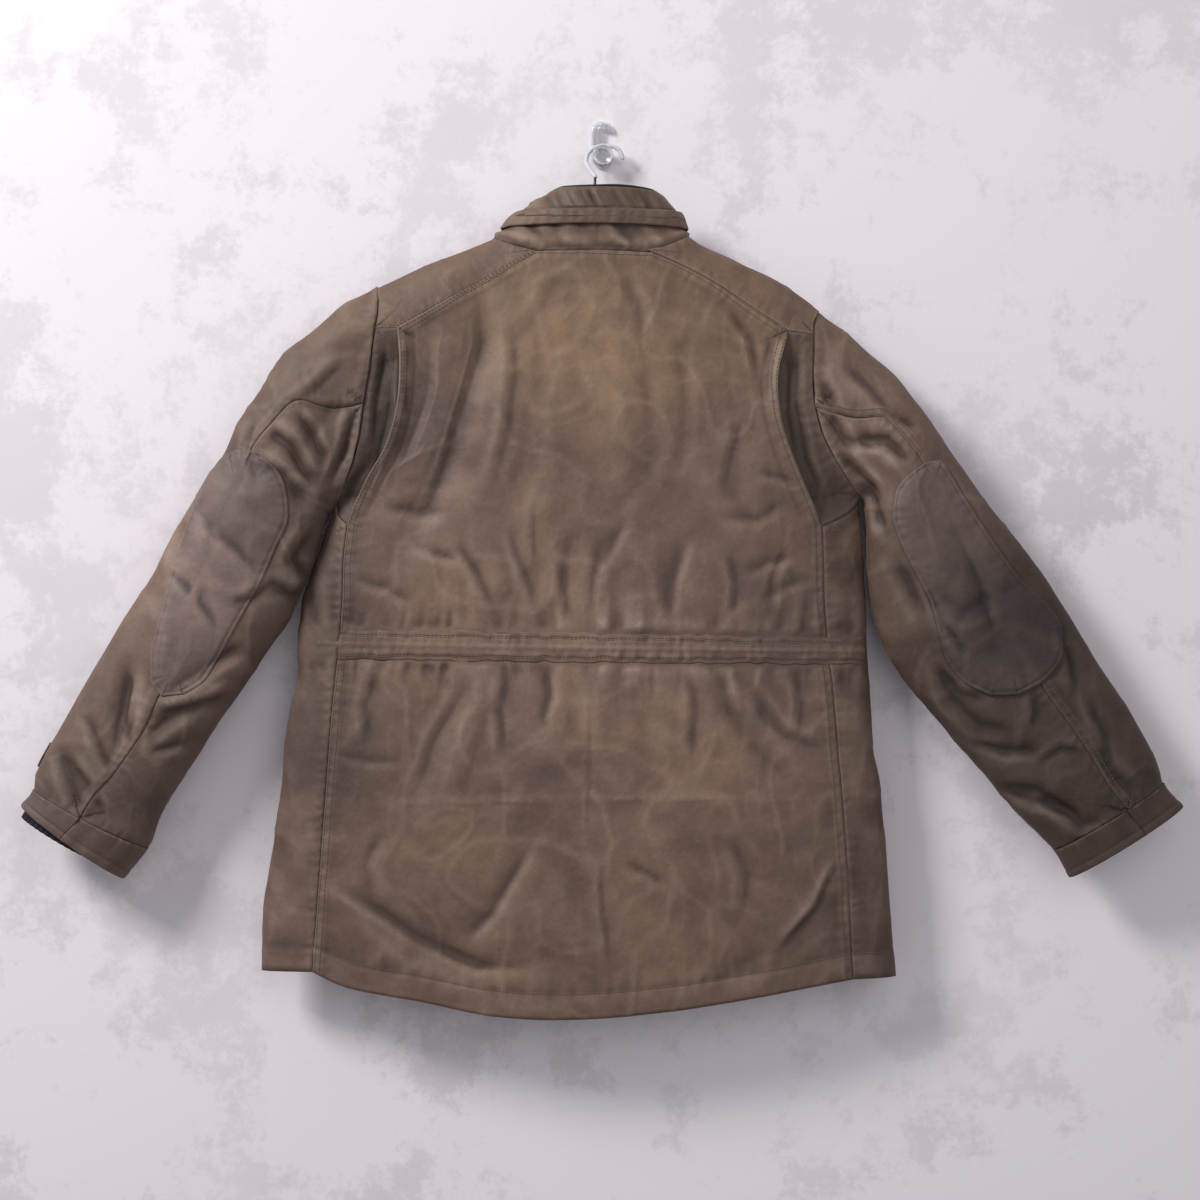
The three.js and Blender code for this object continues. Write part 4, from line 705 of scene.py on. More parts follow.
class Sleeve:
    """The surface of one sleeve, over its ring count and the way round it."""

    def __init__(self, side):
        self.side = side
        self.count = len(SLEEVES[side])
        self.at = column_reader(SLEEVE_COLUMNS, SLEEVES[side])
        self.outward = -1 if side == "left" else 1
        back = body_point(*armhole_half(side, on_back, 1 / FINE).T)
        front = body_point(*armhole_half(side, on_front(side), 1 / FINE).T)
        back[:, 0] += self.outward * ARMHOLE_EASE
        front[:, 0] += self.outward * ARMHOLE_EASE
        loop = np.concatenate([back, front[::-1][1:-1], back[:1]])
        gone = np.concatenate([[0], np.cumsum(np.linalg.norm(np.diff(back, axis=0), axis=1))])
        rounds = np.arccos(np.clip(1 - 2 * gone / gone[-1], -1, 1)) / np.pi
        self.loop = loop
        self.loop_rounds = np.concatenate([rounds, 2 - rounds[::-1][1:-1], [2]])
        self.cuff_seam = self.count - 3
        self.cuff_end = self.count - 2

    def plain(self, ring, around):
        across = (1 + np.cos(np.pi * around)) / 2
        facing = np.sin(np.pi * around)
        x = mix(self.at("inner_x", ring), self.at("outer_x", ring), across)
        z = mix(self.at("inner_z", ring), self.at("outer_z", ring), across)
        middle = mix(BODY_MIDDLE_Y, SLEEVE_MIDDLE_Y, ease(ring / 3))
        push = fold_depth(x, z, SLEEVE_FOLDS[self.side]) * np.minimum(np.abs(facing) * 1.6, 1)
        give = np.where(facing > 0, push, -push * 0.5)
        return np.stack([x, middle - self.at("depth", ring) * facing + give, z], -1)

    def point(self, ring, around):
        fade = (1 - np.minimum(np.maximum(ring, 0) / 3.5, 1)) ** 2
        place = np.mod(around, 2)
        loop = np.stack([np.interp(place, self.loop_rounds, self.loop[:, k]) for k in range(3)], -1)
        shift = loop - self.plain(0 * ring, around)
        return self.plain(ring, around) + fade[..., None] * shift

    def column_round(self, column, ring):
        """The way round at a column, from one hind seam by the fore seam to the next."""
        hind = self.at("hind", ring)
        rounds = np.concatenate([self.loop_rounds, self.loop_rounds[1:] + 2])
        start = np.interp(column, np.arange(len(rounds)), rounds)
        under = mix(hind, 1.3, (column - HIND_SEAM) / (FORE_SEAM - HIND_SEAM))
        top = mix(1.3, hind + 2, (column - FORE_SEAM) / (HIND_AGAIN - FORE_SEAM))
        return mix(start, np.where(column <= FORE_SEAM, under, top), ease(ring / 3))

    def ring_through(self, x, z):
        """The ring whose line from the outer to the inner edge runs through a place."""
        low = np.zeros(np.shape(x))
        high = np.full(np.shape(x), float(self.count - 1))

        def side_of(ring):
            outer_x = self.at("outer_x", ring)
            outer_z = self.at("outer_z", ring)
            run_x = self.at("inner_x", ring) - outer_x
            run_z = self.at("inner_z", ring) - outer_z
            return np.sign(run_x * (z - outer_z) - run_z * (x - outer_x))

        first = side_of(low)
        for _ in range(40):
            middle = (low + high) / 2
            same = side_of(middle) == first
            low = np.where(same, middle, low)
            high = np.where(same, high, middle)
        return low

    def place_of(self, x, z):
        ring = self.ring_through(x, z)
        outer_x = self.at("outer_x", ring)
        outer_z = self.at("outer_z", ring)
        run_x = self.at("inner_x", ring) - outer_x
        run_z = self.at("inner_z", ring) - outer_z
        share = ((x - outer_x) * run_x + (z - outer_z) * run_z) / (run_x**2 + run_z**2)
        return ring, np.arccos(np.clip(1 - 2 * share, -1, 1)) / np.pi

    def normal(self, ring, around):
        across = self.point(ring, around + 0.01) - self.point(ring, around - 0.01)
        along = self.point(ring + 0.1, around) - self.point(np.maximum(ring - 0.1, 0), around)
        normal = np.cross(across, along) * self.outward
        return normal / np.linalg.norm(normal, axis=-1, keepdims=True)

    def wrinkles(self, points, around, amount):
        x = points[..., 0]
        z = points[..., 2]
        behind = np.clip(np.sin(np.pi * around) * 2.2, 0, 1)
        before = np.clip(-np.sin(np.pi * around) * 2.2, 0, 1)
        creases = crease_height(x, z, SLEEVE_CREASES[self.side])
        mirrored = crease_height(x + 9, z - 23, SLEEVE_CREASES[self.side])
        rumple = rumple_height(x + 90 * before, z + 55, 0.75)
        return 1.7 * (creases * behind + 0.8 * mirrored * before) + rumple * amount


sleeves = {"left": Sleeve("left"), "right": Sleeve("right")}


# The collar's columns run round the neck seam, from centre front by the left and back.
neck_left = neck_side("left")
neck_right = neck_side("right")
neck_ring = joined(front_neck("left")[::-1], neck_left[1][::-1], neck_left[0][::-1],
                   back_line("neck_back", NECK_STEPS), neck_right[0], neck_right[1], front_neck("right"))
neck_points = body_point(neck_ring[:, 0], neck_ring[:, 1])
collar_at = column_reader(COLLAR_COLUMNS, COLLAR)


def neck_turns():
    left = body_at("left", neck_left[1][0, 1])
    right = body_at("right", neck_right[1][0, 1])
    across = (neck_points[:, 0] - (left + right) / 2) / ((right - left) / 2)
    turns = np.arctan2(across, (BODY_MIDDLE_Y - neck_points[:, 1]) / COLLAR[0][7]) / np.pi
    turns[0] = -1
    turns[-1] = 1
    return turns


collar_turns = neck_turns()


def collar_points(shares):
    """The collar's grid of places, for shares from 0 at the neck seam to 4 at its top edge."""
    turn = collar_turns[None] * np.pi + 0 * shares[:, None]
    row = np.maximum(shares - 1, 0)[:, None]
    sine = np.sin(turn)
    cosine = np.cos(turn)
    left = collar_at("left_x", row)
    right = collar_at("right_x", row)
    side_z = np.where(sine < 0, collar_at("left_z", row), collar_at("right_z", row))
    middle_z = np.where(cosine > 0, collar_at("back_z", row), collar_at("front_z", row))
    depth = np.where(cosine > 0, collar_at("back", row), collar_at("front", row))
    above = np.stack([(left + right) / 2 + (right - left) / 2 * sine, BODY_MIDDLE_Y - depth * cosine,
                      mix(middle_z, side_z, sine * sine)], -1)
    return mix(neck_points[None], above, np.minimum(shares, 1)[:, None, None])


# The grid of places of each piece that is made, by its name.
made = {}


def grid_normals(points, wrap=False):
    if wrap:
        around = np.concatenate([points[:, -2:-1], points, points[:, 1:2]], 1)
        across = around[:, 2:] - around[:, :-2]
    else:
        across = np.gradient(points, axis=1)
    normal = np.cross(across, np.gradient(points, axis=0))
    length = np.linalg.norm(normal, axis=-1, keepdims=True)
    return normal / np.maximum(length, 1e-9)


ALL_EDGES = ("left", "right", "bottom", "top")


def edge_of(points, name):
    return {"left": points[:, 0], "right": points[:, -1], "bottom": points[0], "top": points[-1]}[name]


def seam_distance(points, names, lines=()):
    """Distance to the nearest sewn edge, and the length gone along that edge."""
    flat = points.reshape(-1, 3)
    nearest = np.full(len(flat), 300.0)
    run = np.zeros(len(flat))
    total = 0.0
    for line in [edge_of(points, name)[::3] for name in names] + list(lines):
        for start, end in zip(line, line[1:]):
            step = end - start
            length = max(np.linalg.norm(step), 1e-6)
            t = np.clip(((flat - start) @ step) / length**2, 0, 1)
            distance = np.linalg.norm(flat - start - t[:, None] * step, axis=1)
            closer = distance < nearest
            nearest = np.where(closer, distance, nearest)
            run = np.where(closer, total + t * length, run)
            total += length
    return nearest.reshape(points.shape[:2]), run.reshape(points.shape[:2])


def tone_and_shade_at(x, z):
    """Lightness and warmth of the cloth at a place, with painted shade in them, between the places of the
    table.
    """
    weight = np.zeros(np.shape(x))
    light = np.zeros(np.shape(x))
    warm = np.zeros(np.shape(x))
    for place_x, place_z, lightness_with_shade, warmth_with_shade in TONES_AND_PAINTED_SHADE:
        away = ((x - place_x) / TONE_AND_SHADE_REACH) ** 2 + ((z - place_z) / TONE_AND_SHADE_REACH) ** 2
        near = 1 / (away + 0.35) ** 1.6
        weight += near
        light += near * lightness_with_shade
        warm += near * warmth_with_shade
    return light / weight, warm / weight


def relief_of(heights):
    """How far each place stands out from those around it: above 0 on ridges, below 0 in folds."""
    soft = heights
    for _ in range(RELIEF_PASSES):
        wide = np.pad(soft, 1, mode="edge")
        soft = (wide[:-2, 1:-1] + wide[2:, 1:-1] + wide[1:-1, :-2] + wide[1:-1, 2:]) / 4
    return heights - soft


def grid_object(name, points, material, node=None, thickness=0.0, wrap=False, near=None, run=None,
                relief=None, shade=1.0):
    """A sheet through a grid of places in millimetres, with its thickness laid on inwards."""
    rows, columns = points.shape[0] - 1, points.shape[1] - 1
    mesh = bpy.data.meshes.new(name)
    builder = bmesh.new()
    bmesh.ops.create_grid(builder, x_segments=columns, y_segments=rows, size=0.5)
    seam_layer = builder.verts.layers.float.new("seam")
    run_layer = builder.verts.layers.float.new("run")
    light_layer = builder.verts.layers.float.new("light")
    warm_layer = builder.verts.layers.float.new("warm")
    relief_layer = builder.verts.layers.float.new("relief")
    # light and warm hold the cloth's tone together with painted shade; shade darkens a whole piece further
    # as painted shade.
    light, warm = tone_and_shade_at(points[..., 0], points[..., 2])
    for vert in builder.verts:
        i = round((vert.co.x + 0.5) * columns)
        j = round((vert.co.y + 0.5) * rows)
        vert.co = Vector(points[j, i]) * MM
        vert[seam_layer] = near[j, i] if near is not None else 300.0
        vert[run_layer] = run[j, i] if run is not None else 0.0
        vert[light_layer] = shade * light[j, i]
        vert[warm_layer] = warm[j, i]
        vert[relief_layer] = relief[j, i] if relief is not None else 0.0
    if wrap:
        bmesh.ops.remove_doubles(builder, verts=builder.verts, dist=1e-6)
    normals = grid_normals(points, wrap)
    first = builder.faces[:][len(builder.faces) // 2]
    first.normal_update()
    centre = np.array(first.calc_center_median()) / MM
    flat = points.reshape(-1, 3)
    nearest = np.argmin(((flat - centre) ** 2).sum(1))
    if np.dot(normals.reshape(-1, 3)[nearest], first.normal) < 0:
        bmesh.ops.reverse_faces(builder, faces=builder.faces)
    builder.to_mesh(mesh)
    builder.free()
    mesh.shade_smooth()
    mesh.materials.append(material_named(material))
    obj = bpy.data.objects.new(name, mesh)
    bpy.context.scene.collection.objects.link(obj)
    if thickness:
        solid = obj.modifiers.new("thickness", "SOLIDIFY")
        solid.thickness = thickness * MM
        solid.offset = -1
        solid.use_even_offset = False
    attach(obj, "root")
    if node:
        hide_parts(node)
    made[name] = points
    return obj


def outwards(points, normals, middle):
    """Normals turned away from a middle line, so that heights push the cloth out."""
    away = points - middle
    sign = np.sign((normals * away).sum(-1).mean())
    return normals * sign


# Materials

def add_node(tree, kind, **settings):
    node = tree.nodes.new(kind)
    for name, value in settings.items():
        setattr(node, name, value)
    return node


def feed(tree, socket, value):
    """Links an output to the socket, or sets the socket's own value."""
    if hasattr(value, "is_linked"):
        tree.links.new(value, socket)
    else:
        socket.default_value = value


def maths(tree, operation, first, second=0.0, clamp=False):
    node = add_node(tree, "ShaderNodeMath", operation=operation, use_clamp=clamp)
    feed(tree, node.inputs[0], first)
    feed(tree, node.inputs[1], second)
    return node.outputs[0]


def scaled(tree, value, factor, offset):
    node = add_node(tree, "ShaderNodeMath", operation="MULTIPLY_ADD")
    feed(tree, node.inputs[0], value)
    node.inputs[1].default_value = factor
    node.inputs[2].default_value = offset
    return node.outputs[0]


def colour_mix(tree, share, first, second, blend="MIX"):
    node = add_node(tree, "ShaderNodeMix", data_type="RGBA", blend_type=blend)
    feed(tree, node.inputs[0], share)
    feed(tree, node.inputs[6], first)
    feed(tree, node.inputs[7], second)
    return node.outputs[2]


def noise_of(tree, place, scale, detail=4.0, roughness=0.55):
    node = add_node(tree, "ShaderNodeTexNoise")
    feed(tree, node.inputs["Vector"], place)
    node.inputs["Scale"].default_value = scale
    node.inputs["Detail"].default_value = detail
    node.inputs["Roughness"].default_value = roughness
    return node.outputs[0]


def attribute_of(tree, name):
    return add_node(tree, "ShaderNodeAttribute", attribute_name=name).outputs["Fac"]


def worn_wax_group():
    """Mottled waxed cloth, worn light along seams and dry creases, with puckers beside seams, painted shade
    in its fold troughs, and the tone and painted shade of the light attribute.
    """
    tree = bpy.data.node_groups.new("worn_wax", "ShaderNodeTree")
    sockets = (
        ("Deep Colour", "INPUT", "NodeSocketColor"), ("Base Colour", "INPUT", "NodeSocketColor"),
        ("Worn Colour", "INPUT", "NodeSocketColor"), ("Warm Colour", "INPUT", "NodeSocketColor"),
        ("Cool Colour", "INPUT", "NodeSocketColor"),
        ("Wear", "INPUT", "NodeSocketFloat"), ("Puckers", "INPUT", "NodeSocketFloat"),
        ("Place", "INPUT", "NodeSocketVector"), ("Colour", "OUTPUT", "NodeSocketColor"),
        ("Roughness", "OUTPUT", "NodeSocketFloat"), ("Height", "OUTPUT", "NodeSocketFloat"),
    )
    for name, way, kind in sockets:
        tree.interface.new_socket(name=name, in_out=way, socket_type=kind)
    given = add_node(tree, "NodeGroupInput")
    result = add_node(tree, "NodeGroupOutput")
    place = given.outputs["Place"]
    seam = attribute_of(tree, "seam")
    run = attribute_of(tree, "run")
    broad = noise_of(tree, place, 7.0, 3.0)
    blotch = noise_of(tree, place, 34.0, 5.0, 0.62)
    grain = noise_of(tree, place, 260.0, 3.0, 0.6)
    shade = scaled(tree, broad, 1.3, -0.62)
    shade = maths(tree, "ADD", shade, maths(tree, "MULTIPLY", blotch, 1.1), clamp=True)
    colour = colour_mix(tree, shade, given.outputs["Deep Colour"], given.outputs["Base Colour"])
    # The warm attribute's cool side is partly a painted cool tint of shade.
    cast = maths(tree, "MULTIPLY", attribute_of(tree, "warm"), maths(tree, "MULTIPLY", blotch, 1.3))
    cast = maths(tree, "ADD", cast, maths(tree, "MULTIPLY", maths(tree, "SUBTRACT", broad, 0.5), 0.9))
    warm = maths(tree, "MAXIMUM", cast, 0.0, clamp=True)
    cool = maths(tree, "MULTIPLY", cast, -1.0, clamp=True)
    colour = colour_mix(tree, warm, colour, given.outputs["Warm Colour"])
    colour = colour_mix(tree, cool, colour, given.outputs["Cool Colour"])
    # Dry lines: thin places where a soft noise crosses its middle value
    vein = maths(tree, "ABSOLUTE", maths(tree, "SUBTRACT", noise_of(tree, place, 22.0, 2.5), 0.5))
    vein = maths(tree, "SUBTRACT", 1.0, maths(tree, "MULTIPLY", vein, 26.0), clamp=True)
    vein = maths(tree, "MULTIPLY", vein, maths(tree, "MULTIPLY", blotch, 0.62))
    edge = maths(tree, "SUBTRACT", 1.0, maths(tree, "DIVIDE", seam, 4.2), clamp=True)
    patchy = maths(tree, "MULTIPLY", noise_of(tree, place, 70.0, 4.0), 1.5, clamp=True)
    edge = maths(tree, "MULTIPLY", edge, patchy)
    worn = maths(tree, "ADD", maths(tree, "MULTIPLY", vein, 0.06), maths(tree, "MULTIPLY", edge, 0.3))
    relief = attribute_of(tree, "relief")
    ridge = maths(tree, "MULTIPLY", relief, 0.38, clamp=True)
    worn = maths(tree, "ADD", worn, maths(tree, "MULTIPLY", ridge, patchy))
    # Painted shade: the fold troughs are darkened towards the deep colour.
    trough = maths(tree, "MULTIPLY", relief, -0.75, clamp=True)
    colour = colour_mix(tree, trough, colour, given.outputs["Deep Colour"])
    worn = maths(tree, "MULTIPLY", worn, given.outputs["Wear"], clamp=True)
    colour = colour_mix(tree, worn, colour, given.outputs["Worn Colour"])
    speck = scaled(tree, grain, 0.34, 0.83)
    # The light attribute holds the cloth's tone together with painted shade.
    tone_with_painted_shade = maths(tree, "MULTIPLY", attribute_of(tree, "light"), speck)
    grey = add_node(tree, "ShaderNodeCombineColor")
    for socket in grey.inputs[:3]:
        tree.links.new(tone_with_painted_shade, socket)
    colour = colour_mix(tree, 1.0, colour, grey.outputs[0], "MULTIPLY")
    tree.links.new(colour, result.inputs["Colour"])
    rough = scaled(tree, blotch, 0.24, 0.46)
    rough = maths(tree, "ADD", rough, maths(tree, "MULTIPLY", worn, 0.2))
    tree.links.new(rough, result.inputs["Roughness"])
    # Heights in millimetres
    wobble = maths(tree, "MULTIPLY", noise_of(tree, place, 30.0, 1.0), 9.0)
    wave = maths(tree, "SINE", maths(tree, "ADD", maths(tree, "MULTIPLY", run, 0.52), wobble))
    near = maths(tree, "EXPONENT", maths(tree, "MULTIPLY", seam, -0.125))
    near = maths(tree, "MULTIPLY", near, maths(tree, "DIVIDE", seam, 4.0, clamp=True))
    near = maths(tree, "MULTIPLY", near, maths(tree, "SUBTRACT", patchy, 0.35, clamp=True))
    pucker = maths(tree, "MULTIPLY", maths(tree, "MULTIPLY", wave, near), given.outputs["Puckers"])
    height = maths(tree, "ADD", pucker, maths(tree, "MULTIPLY", noise_of(tree, place, 55.0, 3.0, 0.5), 1.1))
    height = maths(tree, "ADD", height, maths(tree, "MULTIPLY", vein, 0.2))
    height = maths(tree, "ADD", height, maths(tree, "MULTIPLY", noise_of(tree, place, 1100.0, 1.0), 0.12))
    tree.links.new(height, result.inputs["Height"])


def new_material(name):
    material = bpy.data.materials.new(f"looks_{name}")
    material.use_nodes = True
    return material.node_tree, material.node_tree.nodes["Principled BSDF"]


def bump(tree, shader, height):
    node = add_node(tree, "ShaderNodeBump")
    node.inputs["Distance"].default_value = MM
    node.inputs["Strength"].default_value = 1.0
    feed(tree, node.inputs["Height"], height)
    tree.links.new(node.outputs["Normal"], shader.inputs["Normal"])


def cloth_material(name, deep, base, worn, casts, wear, puckers):
    tree, shader = new_material(name)
    group = add_node(tree, "ShaderNodeGroup", node_tree=bpy.data.node_groups["worn_wax"])
    place = add_node(tree, "ShaderNodeTexCoord").outputs["Object"]
    tree.links.new(place, group.inputs["Place"])
    colours = {"Deep Colour": deep, "Base Colour": base, "Worn Colour": worn,
               "Warm Colour": casts[0], "Cool Colour": casts[1]}
    for socket, colour in colours.items():
        group.inputs[socket].default_value = (*colour, 1)
    group.inputs["Wear"].default_value = wear
    group.inputs["Puckers"].default_value = puckers
    tree.links.new(group.outputs["Colour"], shader.inputs["Base Color"])
    tree.links.new(group.outputs["Roughness"], shader.inputs["Roughness"])
    shader.inputs["Specular IOR Level"].default_value = 0.36
    bump(tree, shader, group.outputs["Height"])


def plain_material(name, colour, roughness, metallic=0.0, transmission=0.0, grain=0.0, grain_scale=900.0):
    tree, shader = new_material(name)
    shader.inputs["Roughness"].default_value = roughness
    shader.inputs["Metallic"].default_value = metallic
    shader.inputs["Transmission Weight"].default_value = transmission
    place = add_node(tree, "ShaderNodeTexCoord").outputs["Object"]
    speck = noise_of(tree, place, grain_scale, 3.0)
    darker = tuple(part * 0.8 for part in colour)
    shade = colour_mix(tree, speck, (*darker, 1), (*colour, 1))
    tree.links.new(shade, shader.inputs["Base Color"])
    if grain:
        bump(tree, shader, maths(tree, "MULTIPLY", speck, grain))


def build_materials():
    settings = bpy.context.scene.jacket
    worn_wax_group()
    deep, base = settings.deep_and_fold_shade_colour, settings.cloth_colour
    worn = settings.worn_colour
    casts = (settings.warm_colour, settings.cool_colour)
    cloth_material("waxed_cotton", deep, base, worn, casts, 1.0, settings.pucker_depth)
    cloth_material("patch_cotton", settings.patch_deep_and_fold_shade, settings.patch_colour, worn, casts, 0.6, 0.8)
    plain_material("dark_cloth", settings.dark_colour, 0.85, grain=0.3)
    plain_material("rib_knit", settings.knit_colour, 0.95, grain=0.4, grain_scale=700.0)
    plain_material("thread", settings.thread_colour, 0.8)
    plain_material("stud_metal", (0.6, 0.58, 0.55), 0.32, metallic=1.0, grain=0.03)
    plain_material("hanger_plastic", (0.018, 0.018, 0.022), 0.4, grain=0.05)
    plain_material("hook_wire", (0.05, 0.05, 0.055), 0.35, metallic=0.6)
    plain_material("wire_sleeve", (0.86, 0.86, 0.9), 0.25, transmission=0.25)
    plain_material("clear_plastic", (0.93, 0.935, 0.955), 0.1, transmission=0.85)


def material_named(name):
    return bpy.data.materials[f"looks_{name}"]


# Cloth pieces

def seam_fade(near, reach=6):
    return 1 - np.exp(-((near / reach) ** 2))


def lap_height(near, width=9.5, thick=0.6):
    """A felled seam: a doubled strip of cloth beside the seam."""
    return thick * (1 - ease((near - width) / 2.5))


def pucker_height(near, run, depth):
    uneven = 0.15 + 0.85 * np.abs(ripple(run / 34, 2.0))
    wave = 0.7 * np.sin(run * 0.62 + 6 * ripple(run / 23, 4.0)) + ripple(run / 7, 8.0)
    return depth * uneven * wave * np.exp(-near / 10) * (1 - np.exp(-((near / 3.5) ** 2)))


def stitch_groove(near, at, depth=0.5, width=1.6):
    return -depth * np.exp(-(((near - at) / width) ** 2))


def cloth_piece(name, points, normals, heights, near, run, thickness=CLOTH, material="waxed_cotton",
                shade=1.0, wrap=False, held="hung", rests_on=("hanger",)):
    """A sheet of cloth in place of its node, its places moved out by their heights."""
    final = points + normals * heights[..., None]
    obj = grid_object(name, final, material, node=name, thickness=thickness, near=near, run=run,
                      relief=relief_of(heights), shade=shade, wrap=wrap)


def waist_middle(x):
    share = (x - CASING_LEFT) / (CASING_RIGHT - CASING_LEFT)
    return mix((CASING_TOP[0] + CASING_BOTTOM[0]) / 2, (CASING_TOP[1] + CASING_BOTTOM[1]) / 2, share)


def waist_reach(x, z):
    """How far a place lies above or below the waist casing, in millimetres."""
    return np.abs(z - waist_middle(x)) - CASING_REACH


def body_wrinkles(points, around, settings):
    x = points[..., 0]
    z = points[..., 2]
    behind = np.clip(np.cos(np.pi * around) * 2.5, 0, 1)
    before = np.clip(-np.cos(np.pi * around) * 2.5, 0, 1)
    creases = crease_height(x, z, BACK_CREASES) * behind
    creases += 0.7 * crease_height(-x - 12, z - 15, BACK_CREASES) * before
    rumple = rumple_height(x + 140 * before, z, 0.62) * settings.rumple_strength
    return creases * settings.crease_strength + rumple


def waist_gathers(points, around):
    x = points[..., 0]
    z = points[..., 2]
    behind = np.clip(np.cos(np.pi * around) * 3, 0, 1)
    reach = np.maximum(waist_reach(x, z), 0)
    lean = x + 0.22 * (z - waist_middle(x)) * ripple(x / 40, 3.0)
    fine = ripple(lean / 6.2, z / 70) * np.exp(-reach / 13)
    wide = ripple(lean / 15, z / 90 + 7) * np.exp(-reach / 34)
    return behind * (1.9 * fine + 2.6 * wide)


def body_piece(name, places, seams, settings, extra, coarse=1, **options):
    around = places[::coarse, ::coarse, 0]
    z = places[::coarse, ::coarse, 1]
    points = body_point(around, z)
    normals = body_normal(around, z)
    near, run = seam_distance(points, seams)
    reach = waist_reach(points[..., 0], z)
    behind = np.cos(np.pi * around) > 0
    clear = np.where(behind, ease(reach / 9), 1)
    heights = body_wrinkles(points, around, settings) * seam_fade(near) * clear
    heights += waist_gathers(points, around) * ease(reach / 8) * seam_fade(near)
    heights += pucker_height(near, run, 0.55 * settings.pucker_depth) * clear
    heights += extra(points, near)
    cloth_piece(name, points, normals, heights, near, run, **options)


def back_extra(points, near):
    """Felled seams, the pleats' folded edges, and the turned hem of the back."""
    z = points[..., 2]
    pleat = ease((z - PLEAT_FOOT_Z) / 26) * ease((PLEAT_TOP_Z - z) / 24)
    sides = seam_distance(points, ("left", "right"))[0]
    tops = seam_distance(points, ("top",))[0]
    hem = seam_distance(points, ("bottom",))[0]
    clear = np.minimum(1, ease(waist_reach(points[..., 0], z) / 6) + 0.3)
    seams = lap_height(sides) * (1 - pleat) * clear + lap_height(tops, 8.5)
    folded = 4.4 * pleat * np.exp(-((sides / 10) ** 2)) + stitch_groove(sides, 16, 0.5 * pleat, 2)
    folded -= 1.6 * (z > YOKE_SEAM_Z) * np.exp(-((tops / 2.5) ** 2))
    turned = 0.5 * (1 - ease((hem - HEM_FOLD) / 3)) + stitch_groove(hem, HEM_ROW, 0.9, 2.2)
    hem_waves = 0.7 * ripple(points[..., 0] / 7.5, hem / 40) * np.exp(-np.abs(hem - HEM_FOLD) / 12)
    return seams + folded + turned + hem_waves


def front_extra(points, near):
    hem = seam_distance(points, ("bottom",))[0]
    return 0.4 * (1 - ease((hem - HEM_FOLD) / 3)) + stitch_groove(hem, HEM_ROW, 0.7, 2.2)


def yoke_extra(points, near):
    return 0.3 * np.exp(-((near / 6) ** 2)) + stitch_groove(near, 2.5, 0.3, 1.2)


def gusset_extra(depth):
    """The cloth behind a pleat lies deeper here than in the plain solid."""
    def height(points, near):
        return GUSSET_DEEPER * depth

    return height


def colour_setting(name, description, *colour):
    return FloatVectorProperty(name=name, description=description, subtype="COLOR", default=colour)


class JacketSettings(bpy.types.PropertyGroup):
    """Sizes and colours of the jacket's looks"""

    crease_strength: FloatProperty(name="Creases", default=1.2,
                                   description="Strength of the hand-placed creases")
    rumple_strength: FloatProperty(name="Rumples", default=1.2,
                                   description="Strength of the uneven rumples")
    pucker_depth: FloatProperty(name="Puckers", default=1.0,
                                description="Depth of the puckers beside seams, in millimetres")
    gather_count: IntProperty(name="Gathers", default=62, description="Gathers along the waist casing")
    rib_count: IntProperty(name="Ribs", default=48, description="Ribs round each knitted cuff")
    stitch_length: FloatProperty(name="Stitch", default=3.0,
                                 description="Length of a stitch, in millimetres")
    stitch_gap: FloatProperty(name="Stitch gap", default=1.3,
                              description="Gap between two stitches, in millimetres")
    # The deep cloth colour is thick wax in the mottle, and also darkens fold troughs as painted shade.
    deep_and_fold_shade_colour: colour_setting("Deep cloth", "Cloth where the wax is thick", 0.084, 0.052, 0.040)
    cloth_colour: colour_setting("Cloth", "Main colour of the cloth", 0.246, 0.156, 0.112)
    worn_colour: colour_setting("Worn cloth", "Cloth where it is worn", 0.37, 0.28, 0.22)
    warm_colour: colour_setting("Warm cloth", "Golden cast of the upper back", 0.265, 0.165, 0.084)
    cool_colour: colour_setting("Cool cloth", "Purplish cast of the sides and sleeves", 0.150, 0.100, 0.088)
    # The deep patch colour is thick wax in the mottle, and also darkens fold troughs as painted shade.
    patch_deep_and_fold_shade: colour_setting("Deep patch", "Patches where the wax is thick", 0.082, 0.058, 0.052)
    patch_colour: colour_setting("Patch", "Main colour of the elbow patches", 0.240, 0.164, 0.138)
    dark_colour: colour_setting("Dark cloth", "Inside of the collar and its piping", 0.016, 0.015, 0.018)
    knit_colour: colour_setting("Knit", "Knitted cuffs", 0.014, 0.014, 0.022)
    thread_colour: colour_setting("Thread", "Stitching thread", 0.15, 0.11, 0.08)
    wall_colour: colour_setting("Wall", "Backdrop wall", 0.88, 0.83, 0.87)


class JACKET_OT_materials(bpy.types.Operator):
    """Make the cloth, knit, metal and plastic materials"""

    bl_idname = "jacket.materials"
    bl_label = "Materials"

    def execute(self, context):
        build_materials()
        return {"FINISHED"}


class JACKET_OT_body(bpy.types.Operator):
    """Build the back, fronts, shoulder yokes and pleat gussets"""

    bl_idname = "jacket.body"
    bl_label = "Body"

    def execute(self, context):
        settings = context.scene.jacket
        body_piece("back_panel", back_places(), ("left", "right", "top"), settings, back_extra)
        for side in ("left", "right"):
            body_piece(f"front_{side}", front_places(side), ("left", "top"), settings, front_extra, coarse=2)
            body_piece(f"yoke_{side}", yoke_places(side), ALL_EDGES, settings, yoke_extra)
            places, depth = gusset_places(side)
            # shade darkens the cloth behind the pleats: painted shade in the pleat, and partly cloth kept
            # from fading there.
            body_piece(f"pleat_gusset_{side}", places, ("left", "top"), settings, gusset_extra(depth),
                       shade=0.55)
        return {"FINISHED"}


